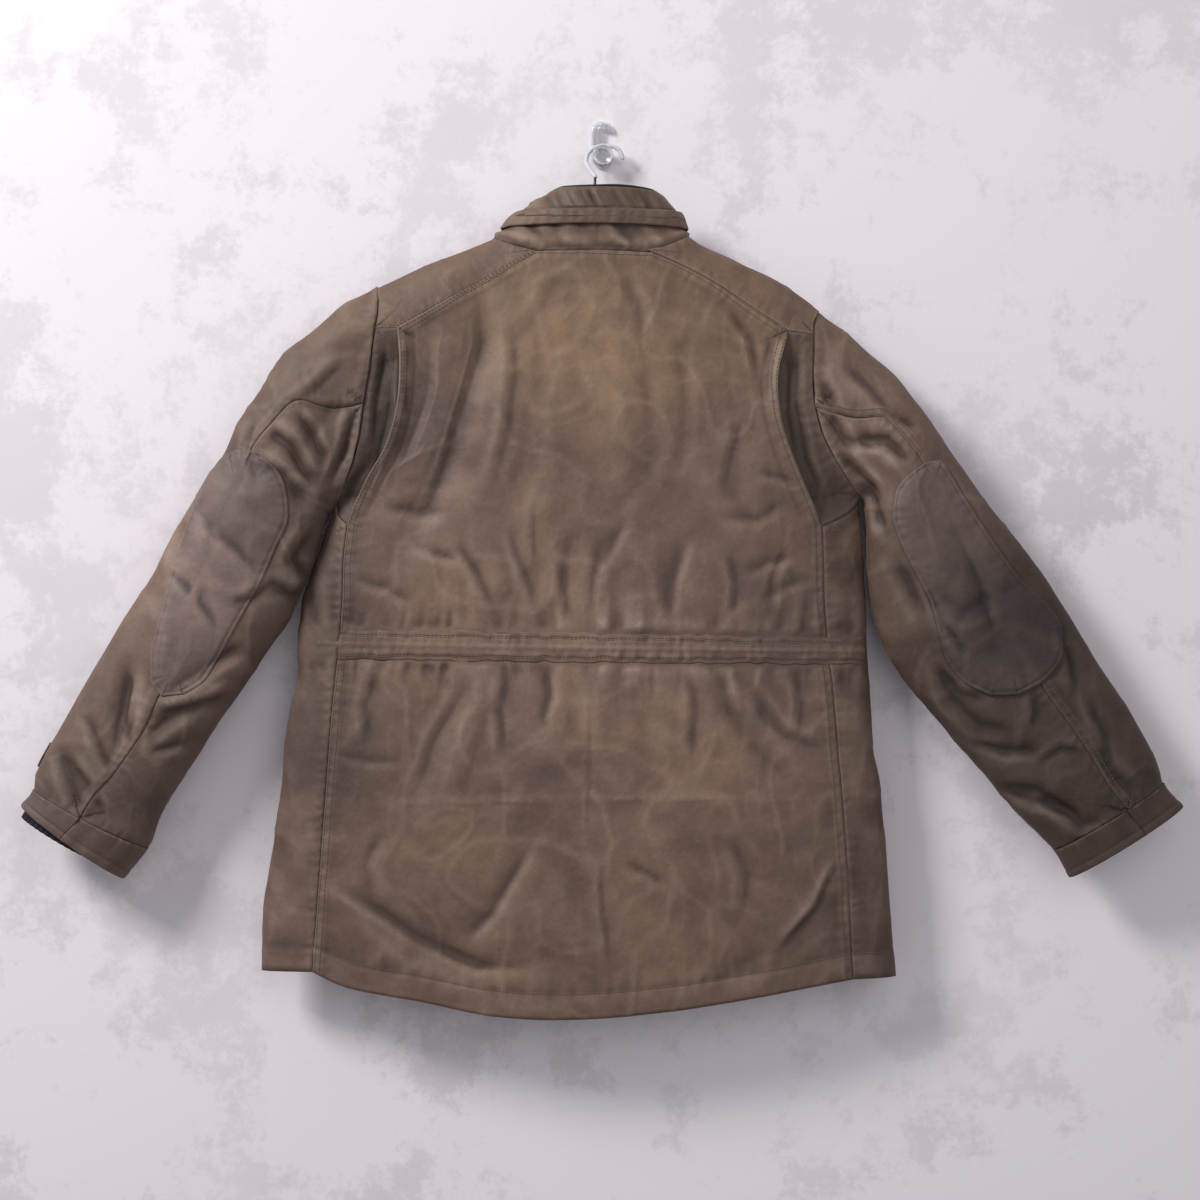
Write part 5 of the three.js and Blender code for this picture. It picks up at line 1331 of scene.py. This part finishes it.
class JACKET_OT_waist(bpy.types.Operator):
    """Build the ruched waist casing across the back"""

    bl_idname = "jacket.waist"
    bl_label = "Waist casing"

    def execute(self, context):
        settings = context.scene.jacket
        columns = settings.gather_count * 7
        across = np.linspace(0, 1, columns + 1)[None]
        up = np.linspace(0, 1, 23)[:, None]
        x = mix(CASING_LEFT, CASING_RIGHT, across) + 0 * up
        z = mix(mix(*CASING_BOTTOM, across), mix(*CASING_TOP, across), up)
        z = z + 1.2 * ripple(x / 10, 2.0) * (2 * up - 1)
        around = back_share(x, z)
        points = body_point(around, z)
        normals = body_normal(around, z)
        phase = across * settings.gather_count + 0.5 * up * ripple(across * 40, 6.0)
        strength = 0.55 + 0.45 * ripple(across * 23, 5.0)
        wave = (0.5 + 0.5 * ripple(phase * 1.6, 2.0 + up)) * strength + 0.25 * ripple(phase * 0.6, up * 2)
        rows = np.exp(-(((up - 0.16) / 0.07) ** 2)) + np.exp(-(((up - 0.84) / 0.07) ** 2))
        ridge = np.exp(-(((up - 0.52) / 0.11) ** 2))
        bunched = np.exp(-(((up - 0.2) / 0.17) ** 2)) + np.exp(-(((up - 0.8) / 0.17) ** 2))
        heights = 0.7 + wave * (0.8 + 2.6 * bunched) - 0.8 * rows + 0.9 * ridge
        edge = np.minimum(up, 1 - up)
        heights = heights * ease(edge / 0.16) + 0.2
        near = np.abs(up - 0.52) * 32 + 1.5 + 0 * x
        cloth_piece("waist_casing", points, normals, heights, near, x, thickness=1.0, held="gathered",
                    rests_on=["back_panel"])
        return {"FINISHED"}


def sleeve_grid(sleeve, start, end, first_ring, last_ring, columns, rows):
    column = np.linspace(start, end, columns + 1)[None] + np.zeros((rows + 1, 1))
    ring = np.linspace(first_ring, last_ring, rows + 1)[:, None] + 0 * column
    around = sleeve.column_round(column, ring)
    return ring, around


def sleeve_seams(side):
    """The lines of both long seams of a sleeve and of its armhole."""
    sleeve = sleeves[side]
    ring = np.linspace(0, sleeve.cuff_seam, 80)
    hind = sleeve.point(ring, sleeve.column_round(np.full(80, float(HIND_SEAM)), ring))
    front = sleeve.point(ring, sleeve.column_round(np.full(80, float(FORE_SEAM)), ring))
    around = np.linspace(0, 2, 80)
    armhole = sleeve.point(0 * around, around)
    return [hind, front, armhole]


def sleeve_piece(name, side, start, end, columns, rows, settings):
    sleeve = sleeves[side]
    ring, around = sleeve_grid(sleeve, start, end, 0, sleeve.cuff_seam, columns, rows)
    points = sleeve.point(ring, around)
    normals = sleeve.normal(ring, around)
    near, run = seam_distance(points, ALL_EDGES)
    heights = sleeve.wrinkles(points, around, settings.rumple_strength) * seam_fade(near)
    heights += pucker_height(near, run, 0.5 * settings.pucker_depth)
    under = start == HIND_SEAM
    hind = seam_distance(points, ("left",) if under else ("right",))[0]
    armhole = seam_distance(points, ("bottom",))[0]
    if not under:
        heights += lap_height(hind, 9.0, 0.8)
    heights += 0.5 * np.exp(-(((armhole - 4) / 5) ** 2)) + stitch_groove(hind, 2.5, 0.3, 1.2)
    cloth_piece(name, points, normals, heights, near, run)


def loose_ring_piece(name, side, rings, lift, columns, rows, shape, beyond=(0, 0), **options):
    """A tube of cloth round the sleeve between two rings, or beyond the last at its outer and inner edge."""
    sleeve = sleeves[side]
    ring, around = sleeve_grid(sleeve, HIND_SEAM, HIND_AGAIN, *rings, columns, rows)
    share = (ring - rings[0]) / (rings[1] - rings[0])
    ring = ring + share * mix(beyond[1], beyond[0], ((1 + np.cos(np.pi * around)) / 2) ** 0.6)
    points = sleeve.point(ring, around)
    normals = sleeve.normal(ring, around)
    heights = shape(share, np.linspace(0, 1, columns + 1)[None]) + lift
    near = np.minimum(share, 1 - share) * 40
    cloth_piece(name, points, normals, heights, near, around * 90, wrap=True, **options)


class JACKET_OT_sleeves(bpy.types.Operator):
    """Build the sleeves, their cuffs, the elbow patches and the cuff tab"""

    bl_idname = "jacket.sleeves"
    bl_label = "Sleeves"

    def execute(self, context):
        settings = context.scene.jacket
        fine = 8
        for side in ("left", "right"):
            sleeve = sleeves[side]
            sleeve_piece(f"top_sleeve_{side}", side, FORE_SEAM, HIND_AGAIN, 11 * fine, 22 * fine, settings)
            sleeve_piece(f"under_sleeve_{side}", side, HIND_SEAM, FORE_SEAM, 9 * fine, 22 * fine, settings)
            self.cuff(side)
            self.knit(side, settings)
            self.patch(side, sleeve, settings)
        self.tab()
        return {"FINISHED"}

    def cuff(self, side):
        def shape(share, turn):
            fold = 0.9 * ripple(turn * 26 + 3 * (turn > 0.5), share * 1.3) * (1 - 0.5 * share)
            pucker = 0.7 * ripple(turn * 80, 2.0) * np.exp(-share / 0.16)
            edge = 0.6 * np.exp(-(((share - 0.86) / 0.16) ** 2))
            edge -= 0.6 * np.exp(-(((share - 0.7) / 0.04) ** 2))
            return fold + pucker + edge + 0.5 * np.exp(-share / 0.2)

        sleeve = sleeves[side]
        rings = (sleeve.cuff_seam, sleeve.cuff_end)
        loose_ring_piece(f"cuff_band_{side}", side, rings, 0.3, 200, 20, shape)

    def knit(self, side, settings):
        sleeve = sleeves[side]
        outer, inner = (0.5, -0.35) if side == "left" else (-0.15, -0.15)

        def shape(share, turn):
            ribs = 0.8 * np.cos(2 * np.pi * settings.rib_count * turn)
            return -2.6 - 1.6 * ease(share / 0.2) + ribs

        loose_ring_piece(f"knit_cuff_{side}", side, (sleeve.cuff_seam - 0.25, sleeve.cuff_end), -2.6,
                         settings.rib_count * 5, 16, shape, beyond=(outer, inner), material="rib_knit",
                         rests_on=[f"cuff_band_{side}"])

    def patch(self, side, sleeve, settings):
        rows, columns = 96, 72
        read = column_reader(PATCH_COLUMNS, PATCHES[side])
        place = np.linspace(0, len(PATCHES[side]) - 1, rows + 1)
        starts = sleeve.place_of(read("from_x", place), read("from_z", place))
        ends = sleeve.place_of(read("to_x", place), read("to_z", place))
        share = np.linspace(0, 1, columns + 1)[None]
        ring = mix(starts[0][:, None], ends[0][:, None], share)
        around = mix(starts[1][:, None], ends[1][:, None], share)
        points = sleeve.point(ring, around)
        normals = sleeve.normal(ring, around)
        below = seam_distance(points, (), sleeve_seams(side))[0]
        near, run = seam_distance(points, ALL_EDGES)
        wrinkles = sleeve.wrinkles(points, around, settings.rumple_strength)
        heights = np.maximum(wrinkles * seam_fade(below), wrinkles * 0.6 - 0.4) + 2.3
        heights += pucker_height(near, run, 0.6) * np.exp(-near / 12) + stitch_groove(near, 3.5, 0.7, 1.8)
        heights -= 1.0 * np.exp(-near / 1.5)
        cloth_piece(f"elbow_patch_{side}", points, normals, heights, near, run, thickness=PATCH_CLOTH,
                    material="patch_cotton", rests_on=[f"top_sleeve_{side}"])

    def tab(self):
        sleeve = sleeves["left"]
        around = np.linspace(*TAB_ROUND, 25)[None] + np.zeros((13, 1))
        ring = np.linspace(*TAB_RINGS, 13)[:, None] + 0 * around
        points = sleeve.point(ring, around)
        heights = np.full(ring.shape, LAYER_GAP + CLOTH + 1.8)
        heights += 0.3 * ripple(points[..., 2] / 9, points[..., 1] / 9)
        edge = np.minimum(np.minimum(ring - TAB_RINGS[0], TAB_RINGS[1] - ring) * 30, 6)
        cloth_piece("cuff_tab", points, sleeve.normal(ring, around), heights, edge, points[..., 1],
                    rests_on=["top_sleeve_left"])


def collar_sheet(name, start, end, rows, heights_of, thickness=CLOTH, **options):
    shares = np.linspace(start, end, rows + 1)
    points = collar_points(shares)[:, ::2]
    middle = points.copy()
    middle[..., 0] = points[..., 0].mean()
    middle[..., 1] = BODY_MIDDLE_Y
    normals = outwards(points, grid_normals(points), middle)
    near, run = seam_distance(points, ("bottom", "top"))
    share = shares[:, None] + 0 * points[..., 0]
    heights = heights_of(points, share, near)
    cloth_piece(name, points, normals, heights, near, run, thickness=thickness, **options)


class JACKET_OT_collar(bpy.types.Operator):
    """Build the stand collar with its welt, dark inside and piping"""

    bl_idname = "jacket.collar"
    bl_label = "Collar"

    def execute(self, context):
        def outside(points, share, near):
            x = points[..., 0]
            z = points[..., 2]
            upper = ease((share - 2) / 0.2)
            lean = x + 0.5 * z
            folds = upper * (1.6 * ripple(lean / 8, z / 60 + 3) + 1.1 * ripple(lean / 4.4, z / 40))
            folds *= 0.4 + 0.6 * ease((4 - share) / 1.2)
            slant = (1 - upper) * 2.2 * ripple((x + 0.9 * z) / 13, (z - 0.6 * x) / 34)
            slant += 2.6 * np.exp(-(((share - 0.3) / 0.32) ** 2))
            centre = -0.8 * np.exp(-(((x - COLLAR_CENTRE_X) / 1.6) ** 2)) * (1 - upper)
            centre *= points[..., 1] < BODY_MIDDLE_Y
            seam = -0.8 * np.exp(-(((share - 2.12) / 0.08) ** 2))
            return (folds + slant + centre + seam) * seam_fade(near, 4) + 1.0

        def welt(points, share, near):
            puckers = 0.5 * ripple(points[..., 0] / 6, 3.0) + 0.3 * ripple(points[..., 0] / 14, 9.0)
            rounded = 0.9 * np.sin(np.pi * (share - 1)) ** 0.6
            return 2 * LAYER_GAP + CLOTH + 1.4 * rounded + puckers * np.sin(np.pi * (share - 1))

        def inside(points, share, near):
            return -COLLAR_CLOTH - LAYER_GAP + 0.4 * ripple(points[..., 0] / 14, points[..., 2] / 20)

        collar_sheet("collar", -0.1, 4, 45, outside, thickness=COLLAR_CLOTH)
        collar_sheet("collar_welt", 1, 2, 12, welt, thickness=1.4, rests_on=["collar"])
        collar_sheet("collar_lining", 1, 4, 20, inside, material="dark_cloth", rests_on=["collar"])
        self.piping()
        return {"FINISHED"}

    def piping(self):
        points = collar_points(np.array([3.7, 4.0]))[:, ::2]
        up = points[1] - points[0]
        up /= np.linalg.norm(up, axis=-1, keepdims=True)
        middle = np.array([points[..., 0].mean(), BODY_MIDDLE_Y])
        inward = middle[None] - points[1][:, :2]
        inward /= np.linalg.norm(inward, axis=-1, keepdims=True)
        line = points[1] + up * 1.9
        line[:, :2] += inward * 1.1
        tube("collar_piping", line, PIPING_RADIUS, 10, "dark_cloth")


def tube_points(line, radii, sides):
    """Rings of places round a line, in one plane after another along it."""
    along = np.gradient(line, axis=0)
    along /= np.linalg.norm(along, axis=-1, keepdims=True)
    side = np.cross(np.array([0.0, 1.0, 0.0]), along)
    side /= np.maximum(np.linalg.norm(side, axis=-1, keepdims=True), 1e-6)
    other = np.cross(along, side)
    angle = np.linspace(0, 2 * np.pi, sides + 1)[None, :, None]
    ring = np.cos(angle) * side[:, None] + np.sin(angle) * other[:, None]
    return line[:, None] + radii[:, None, None] * ring


def tube(name, line, radius, sides, material):
    """A round rod along a line, closed at both ends."""
    along_start = line[0] - line[1]
    along_end = line[-1] - line[-2]
    cap = np.array([0.02, 0.55, 0.85])
    lift = np.sqrt(1 - cap**2)
    start = line[0] + (along_start / np.linalg.norm(along_start))[None] * (lift * radius)[:, None]
    end = line[-1] + (along_end / np.linalg.norm(along_end))[None] * (lift[::-1] * radius)[:, None]
    whole = np.concatenate([start, line, end])
    radii = np.concatenate([cap * radius, np.full(len(line), radius), cap[::-1] * radius])
    grid_object(name, tube_points(whole, radii, sides), material, node=name, wrap=True)


class JACKET_OT_closing(bpy.types.Operator):
    """Build the front fly and its press studs"""

    bl_idname = "jacket.closing"
    bl_label = "Closing"

    def execute(self, context):
        share = np.linspace(0, 1, 25)[None]
        z = np.linspace(FRONT_HEM_Z, FRONT_NECK_Z - 12, 181)[:, None] + 0 * share
        around = 1 + mix(-FLY_HALF_TURN, FLY_HALF_TURN, share) + 0 * z
        points = body_point(around, z)
        near, run = seam_distance(points, ("left", "right"))
        heights = LAYER_GAP + CLOTH + 0.5 * ripple(z / 26, share * 2)
        heights = heights + stitch_groove(near, 4, 0.4, 1.4)
        cloth_piece("front_fly", points, body_normal(around, z), heights, near, run,
                    rests_on=["front_left", "front_right"])
        for i in range(FLY_STUDS):
            z_stud = mix(FRONT_HEM_Z + 60, FRONT_NECK_Z - 40, i / (FLY_STUDS - 1))
            place = body_point(np.array([1.0]), np.array([z_stud]))[0]
            normal = body_normal(np.array([1.0]), np.array([z_stud]))[0]
            stud(f"fly_stud_{i + 1}", place + normal * 3.2, normal, FLY_STUD_RADIUS)
        ring, around = (np.array([part]) for part in TAB_STUD)
        place = sleeves["left"].point(ring, around)[0]
        normal = sleeves["left"].normal(ring, around)[0]
        stud("cuff_tab_stud", place + normal * 4.6, normal, TAB_STUD_RADIUS)
        return {"FINISHED"}


# Profile of a press stud from its middle to its edge: share of its radius, and height.
STUD_PROFILE = ((0.0, 1.1), (0.45, 1.15), (0.62, 1.5), (0.8, 1.95), (0.95, 1.7), (1.0, 1.1), (0.98, 0.3),
                (0.9, 0.0))


def stud(name, place, normal, radius):
    """A round press stud with a rolled rim and a shallow cup."""
    angle = np.linspace(0, 2 * np.pi, 33)
    turn = np.array(Vector((0, 0, 1)).rotation_difference(Vector(normal)).to_matrix())
    rings = []
    for share, height in STUD_PROFILE:
        size = max(share, 0.004) * radius
        ring = np.stack([np.cos(angle) * size, np.sin(angle) * size, np.full(33, height)], -1)
        rings.append(ring @ turn.T + place)
    grid_object(name, np.array(rings), "stud_metal", node=name, wrap=True)


def row_along(name, edge, offset, lift=0.25):
    """A line just over a made piece, at a distance in from one of its edges."""
    points = made[name]
    normals = grid_normals(points)
    if edge in ("bottom", "top"):
        points = points.transpose(1, 0, 2)
        normals = normals.transpose(1, 0, 2)
    if edge in ("right", "top"):
        points = points[:, ::-1]
        normals = normals[:, ::-1]
    reach = min(points.shape[1], 60)
    steps = np.linalg.norm(np.diff(points[:, :reach], axis=1), axis=-1)
    gone = np.concatenate([np.zeros((len(points), 1)), np.cumsum(steps, axis=1)], 1)
    line = []
    facing = []
    for row in range(len(points)):
        line.append([np.interp(offset, gone[row], points[row, :reach, k]) for k in range(3)])
        facing.append([np.interp(offset, gone[row], normals[row, :reach, k]) for k in range(3)])
    line = np.array(line)
    facing = np.array(facing)
    away = facing[:, 1] * (line[:, 1] - BODY_MIDDLE_Y)
    facing *= np.where(away < 0, -1, 1)[:, None]
    return line + facing * lift


def outward(line):
    """The places of a line along a sleeve that lie further out than every place before them."""
    out = np.abs(line[:, 0])
    if out[0] > out[-1]:
        line = line[::-1]
        out = out[::-1]
    return line[out >= np.maximum.accumulate(out)]


def stitch_places(line, length, gap):
    """Centres and directions of stitches in even steps along a line."""
    gone = np.concatenate([[0], np.cumsum(np.linalg.norm(np.diff(line, axis=0), axis=1))])
    middles = np.arange(3, gone[-1] - 3, length + gap)

    def read(at):
        return np.stack([np.interp(at, gone, line[:, k]) for k in range(3)], -1)

    ahead = read(middles + length / 2)
    behind = read(middles - length / 2)
    runs = ahead - behind
    kept = steady(runs)
    return ((ahead + behind) / 2)[kept], runs[kept]


def steady(runs, window=9):
    """Which stitches run the same way as their neighbours, so none is sewn where a line kinks."""
    if len(runs) < window:
        return np.ones(len(runs), bool)
    headings = runs / np.linalg.norm(runs, axis=1, keepdims=True)
    even = np.ones(window)
    count = np.convolve(np.ones(len(runs)), even, "same")
    around = np.stack([np.convolve(headings[:, k], even, "same") for k in range(3)], -1)
    return np.linalg.norm(around, axis=1) / count > 0.92


class JACKET_OT_stitching(bpy.types.Operator):
    """Sew rows of stitches along the seams, the hem and the patches"""

    bl_idname = "jacket.stitching"
    bl_label = "Stitching"

    def execute(self, context):
        settings = context.scene.jacket
        around_patch = [(edge, PATCH_ROW) for edge in ALL_EDGES]
        rows = {
            "back_panel": (("left", SEAM_ROW), ("left", 8.2), ("right", SEAM_ROW), ("right", 8.2),
                           ("top", 2.0), ("top", 7.2), ("bottom", HEM_ROW)),
            "waist_casing": (("bottom", 4.5), ("bottom", 6.5), ("top", 4.5), ("top", 6.5)),
            "top_sleeve_left": (("right", 2.0), ("right", 8.0)),
            "top_sleeve_right": (("right", 2.0), ("right", 8.0)),
            "front_left": (("bottom", HEM_ROW),),
            "front_right": (("bottom", HEM_ROW),),
            "elbow_patch_left": around_patch,
            "elbow_patch_right": around_patch,
            "yoke_left": (("left", SEAM_ROW), ("bottom", SEAM_ROW)),
            "yoke_right": (("left", SEAM_ROW), ("bottom", SEAM_ROW)),
            "front_fly": (("left", 4.0), ("right", 4.0)),
            "cuff_tab": [(edge, TAB_ROW) for edge in ALL_EDGES],
        }
        for name, lines in rows.items():
            builder = bmesh.new()
            for edge, offset in lines:
                line = row_along(name, edge, offset)
                if name.startswith("top_sleeve"):
                    line = outward(line)
                self.sew(builder, line, settings)
            self.finish_rows(name, builder)
        return {"FINISHED"}

    def sew(self, builder, line, settings):
        middles, runs = stitch_places(line, settings.stitch_length, settings.stitch_gap)
        for middle, run in zip(middles, runs):
            turn = Vector((0, 0, 1)).rotation_difference(Vector(run)).to_matrix().to_4x4()
            place = Matrix.Translation(Vector(middle) * MM) @ turn
            bmesh.ops.create_cone(builder, segments=5, radius1=STITCH_RADIUS * MM,
                                  radius2=STITCH_RADIUS * MM, depth=settings.stitch_length * MM,
                                  cap_ends=True, matrix=place)

    def finish_rows(self, name, builder):
        mesh = bpy.data.meshes.new(f"stitches_{name}")
        builder.to_mesh(mesh)
        builder.free()
        mesh.materials.append(material_named("thread"))
        obj = bpy.data.objects.new(f"stitches_{name}", mesh)
        bpy.context.scene.collection.objects.link(obj)
        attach(obj, "root")


# Places along the clear sleeve of the hanger's hook, from its tip over the peg to the collar.
WIRE = ((21.5, -14, -25), (18.5, -14, -18), (10.5, -14, -12.8), (0.5, -14, -12.1), (-9.5, -15, -15.4),
        (-15.8, -18, -22.5), (-17.3, -23, -31), (-13, -31, -41), (-7.6, -37, -49.4))
WIRE_FOOT = ((-7.6, -37.6, -50.4), (-7.9, -41, -54), (-8, -42, -58.7))

# Hanger: x of its arms' ends, bends and neck, its drop under the shoulders, its rise as share and z.
HANGER_ENDS = {"left": -216, "right": 178}
HANGER_BENDS = {"left": -130, "right": 108}
HANGER_NECK = {"left": -25, "right": 9}
HANGER_TOP = (-8, BODY_MIDDLE_Y, -66)
HANGER_DROP = 12
HANGER_STEPS = 7
HANGER_RISE = ((0.35, -141), (0.68, -128), (0.88, -106), (1.0, -80))

# Clear hook: profiles as inset from the edge and y for the plate and its strip, radius and y for the peg.
PLATE_PROFILE = ((11.9, -3.0), (6, -3.0), (1.2, -3.0), (0.4, -2.75), (0, -2.1), (0, -0.4), (0.2, 0.0),
                 (11.9, 0.0))
STRIP_PROFILE = ((4.9, -4.4), (1.2, -4.4), (0.3, -4.1), (0, -3.4), (0, -2.9))
PEG_PROFILE = ((0.05, -3.3), (8.4, -3.3), (8.2, -9), (7.8, -15), (8.2, -17.6), (9.6, -19.4), (10.7, -20.6),
               (10.8, -21.6), (10.3, -22.2), (9.2, -22.3), (7.4, -21.6), (5.2, -20.9), (0.05, -20.6))
PEG_X = 0.5
PEG_Z = -23.1


def space_curve(places, steps):
    """Places in equal steps along a smooth curve in space."""
    keys = np.arange(len(places))
    fine = np.linspace(0, len(places) - 1, 40 * len(places))
    dense = np.stack([smooth_read(keys, [place[k] for place in places], fine) for k in range(3)], -1)
    gone = np.concatenate([[0], np.cumsum(np.linalg.norm(np.diff(dense, axis=0), axis=1))])
    at = np.linspace(0, gone[-1], steps + 1)
    return np.stack([np.interp(at, gone, dense[:, k]) for k in range(3)], -1)


def shoulder_height(x):
    side = "left" if x < 0 else "right"
    z = np.linspace(-215, -115, 400)
    edge = np.abs(body_at(side, z))
    return float(np.interp(-abs(x), -edge, z))


def hanger_arm(side):
    """Places along an arm of the hanger, from its end along the shoulder to the neck."""
    line = []
    for i in range(HANGER_STEPS + 1):
        x = mix(HANGER_ENDS[side], HANGER_BENDS[side], i / HANGER_STEPS)
        slope = (shoulder_height(x + 2) - shoulder_height(x - 2)) / 4
        length = math.hypot(1, slope)
        z = shoulder_height(x) - HANGER_DROP / length
        line.append((x + HANGER_DROP * slope / length, BODY_MIDDLE_Y, z))
    for share, z in HANGER_RISE:
        line.append((mix(HANGER_BENDS[side], HANGER_NECK[side], share), BODY_MIDDLE_Y, z))
    return line


def oval_rings(profile, radius, middle_z, half_straight, sides):
    """Rings of an upright oval with straight sides, one for each inset and y of its profile."""
    angle = np.linspace(0, 2 * np.pi, sides + 1)
    straight = np.where(np.sin(angle) >= 0, half_straight, -half_straight)
    rings = []
    for inset, y in profile:
        x = np.cos(angle) * (radius - inset)
        z = np.sin(angle) * (radius - inset) + middle_z + straight
        rings.append(np.stack([x, np.full(sides + 1, y), z], -1))
    return np.array(rings)


class JACKET_OT_hanger(bpy.types.Operator):
    """Build the hanger, its hook and the clear wall hook"""

    bl_idname = "jacket.hanger"
    bl_label = "Hanger and hook"

    def execute(self, context):
        arms = hanger_arm("left") + [HANGER_TOP] + hanger_arm("right")[::-1]
        tube("hanger", space_curve(arms, 150), HANGER_RADIUS, 20, "hanger_plastic")
        tube("hanger_hook", space_curve(WIRE_FOOT, 16), WIRE_RADIUS, 12, "hook_wire")
        tube("hook_sleeve", space_curve(WIRE, 120), WIRE_SLEEVE_RADIUS, 14, "wire_sleeve")
        grid_object("wall_hook_plate", oval_rings(PLATE_PROFILE, 12, -9, 13, 64), "clear_plastic",
                    node="wall_hook_plate", wrap=True)
        grid_object("wall_hook_strip", oval_rings(STRIP_PROFILE, 5, -4, 11, 48), "clear_plastic", wrap=True)
        angle = np.linspace(0, 2 * np.pi, 49)
        x = np.cos(angle)
        z = np.sin(angle)
        rings = [np.stack([PEG_X + x * radius, np.full(49, y), PEG_Z + z * radius], -1)
                 for radius, y in PEG_PROFILE]
        grid_object("wall_hook_peg", np.array(rings), "clear_plastic", node="wall_hook_peg", wrap=True)
        return {"FINISHED"}


# Stage, in metres: each light's place, size and power, what they aim at, the room, wall and camera.
KEY_LIGHT = ((-2.1, -1.7, 1.5), 0.9, 90)
FILL_LIGHT = ((0.9, -2.8, 0.4), 2.2, 16)
LIGHT_AIM = (0, 0, -0.45)
ROOM_COLOUR = (0.86, 0.84, 0.9, 1)
ROOM_STRENGTH = 0.36
WALL_PLACE = (0, 0.001, -0.5)
WALL_HALF_SIZE = 3.0
CAMERA_PLACE = (-0.0026, -2.442, -0.4945)
CAMERA_LENS = 68.6


class JACKET_OT_stage(bpy.types.Operator):
    """Set the wall, the lights and the camera"""

    bl_idname = "jacket.stage"
    bl_label = "Stage"

    def execute(self, context):
        settings = context.scene.jacket
        self.wall(settings)
        self.area("key", *KEY_LIGHT)
        self.area("fill", *FILL_LIGHT)
        context.scene.view_settings.view_transform = "Standard"
        self.world()
        self.camera()
        return {"FINISHED"}

    def wall(self, settings):
        mesh = bpy.data.meshes.new("wall")
        builder = bmesh.new()
        bmesh.ops.create_grid(builder, x_segments=1, y_segments=1, size=WALL_HALF_SIZE)
        bmesh.ops.rotate(builder, verts=builder.verts, matrix=Matrix.Rotation(math.pi / 2, 3, "X"))
        builder.to_mesh(mesh)
        builder.free()
        tree, shader = new_material("wall")
        place = add_node(tree, "ShaderNodeTexCoord").outputs["Object"]
        flakes = maths(tree, "SUBTRACT", noise_of(tree, place, 4.2, 14.0, 0.8), 0.5)
        flakes = maths(tree, "MULTIPLY", flakes, 18.0, clamp=True)
        cloudy = maths(tree, "MULTIPLY", noise_of(tree, place, 3.1, 5.0), 1.0, clamp=True)
        flakes = maths(tree, "MULTIPLY", flakes, cloudy)
        grey = tuple(part * 0.74 for part in settings.wall_colour)
        colour = colour_mix(tree, flakes, (*settings.wall_colour, 1), (*grey, 1))
        tree.links.new(colour, shader.inputs["Base Color"])
        shader.inputs["Roughness"].default_value = 0.85
        clear = add_node(tree, "ShaderNodeBsdfTransparent")
        mixer = add_node(tree, "ShaderNodeMixShader")
        behind = add_node(tree, "ShaderNodeNewGeometry").outputs["Backfacing"]
        tree.links.new(behind, mixer.inputs[0])
        tree.links.new(shader.outputs[0], mixer.inputs[1])
        tree.links.new(clear.outputs[0], mixer.inputs[2])
        tree.links.new(mixer.outputs[0], tree.nodes["Material Output"].inputs["Surface"])
        mesh.materials.append(material_named("wall"))
        wall = bpy.data.objects.new("wall", mesh)
        wall.location = WALL_PLACE
        bpy.context.scene.collection.objects.link(wall)
        return wall

    def area(self, name, place, size, power):
        lamp = bpy.data.lights.new(name, "AREA")
        lamp.shape = "SQUARE"
        lamp.size = size
        lamp.energy = power
        obj = bpy.data.objects.new(name, lamp)
        obj.location = place
        aim = Vector(LIGHT_AIM) - Vector(place)
        obj.rotation_euler = aim.to_track_quat("-Z", "Y").to_euler()
        bpy.context.scene.collection.objects.link(obj)
        return obj

    def world(self):
        world = bpy.data.worlds.new("room")
        world.use_nodes = True
        background = world.node_tree.nodes["Background"]
        background.inputs["Color"].default_value = ROOM_COLOUR
        background.inputs["Strength"].default_value = ROOM_STRENGTH
        bpy.context.scene.world = world

    def camera(self):
        lens = bpy.data.cameras.new("camera")
        lens.sensor_width = 36
        lens.lens = CAMERA_LENS
        obj = bpy.data.objects.new("camera", lens)
        obj.location = CAMERA_PLACE
        obj.rotation_euler = (math.pi / 2, 0, 0)
        bpy.context.scene.collection.objects.link(obj)
        bpy.context.scene.camera = obj


class JACKET_PT_panel(bpy.types.Panel):
    """Sizes and colours of the jacket, and the steps that build it"""

    bl_idname = "JACKET_PT_panel"
    bl_label = "Waxed Jacket"
    bl_space_type = "VIEW_3D"
    bl_region_type = "UI"
    bl_category = "Jacket"

    def draw(self, context):
        settings = context.scene.jacket
        for name in JacketSettings.__annotations__:
            self.layout.prop(settings, name)
        for operator in STEPS:
            self.layout.operator(operator.bl_idname)


STEPS = (
    JACKET_OT_materials, JACKET_OT_body, JACKET_OT_waist, JACKET_OT_sleeves, JACKET_OT_collar,
    JACKET_OT_closing, JACKET_OT_stitching, JACKET_OT_hanger, JACKET_OT_stage,
)
CLASSES = (JacketSettings, *STEPS, JACKET_PT_panel)


def register():
    for cls in CLASSES:
        bpy.utils.register_class(cls)
    bpy.types.Scene.jacket = PointerProperty(type=JacketSettings)


def unregister():
    del bpy.types.Scene.jacket
    for cls in reversed(CLASSES):
        bpy.utils.unregister_class(cls)


def main():
    register()
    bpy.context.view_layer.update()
    for operator in STEPS:
        step = getattr(bpy.ops.jacket, operator.bl_idname.split(".")[1])
        if step() != {"FINISHED"}:
            raise RuntimeError(f"{operator.bl_idname} did not finish")


if __name__ == "__main__":
    main()
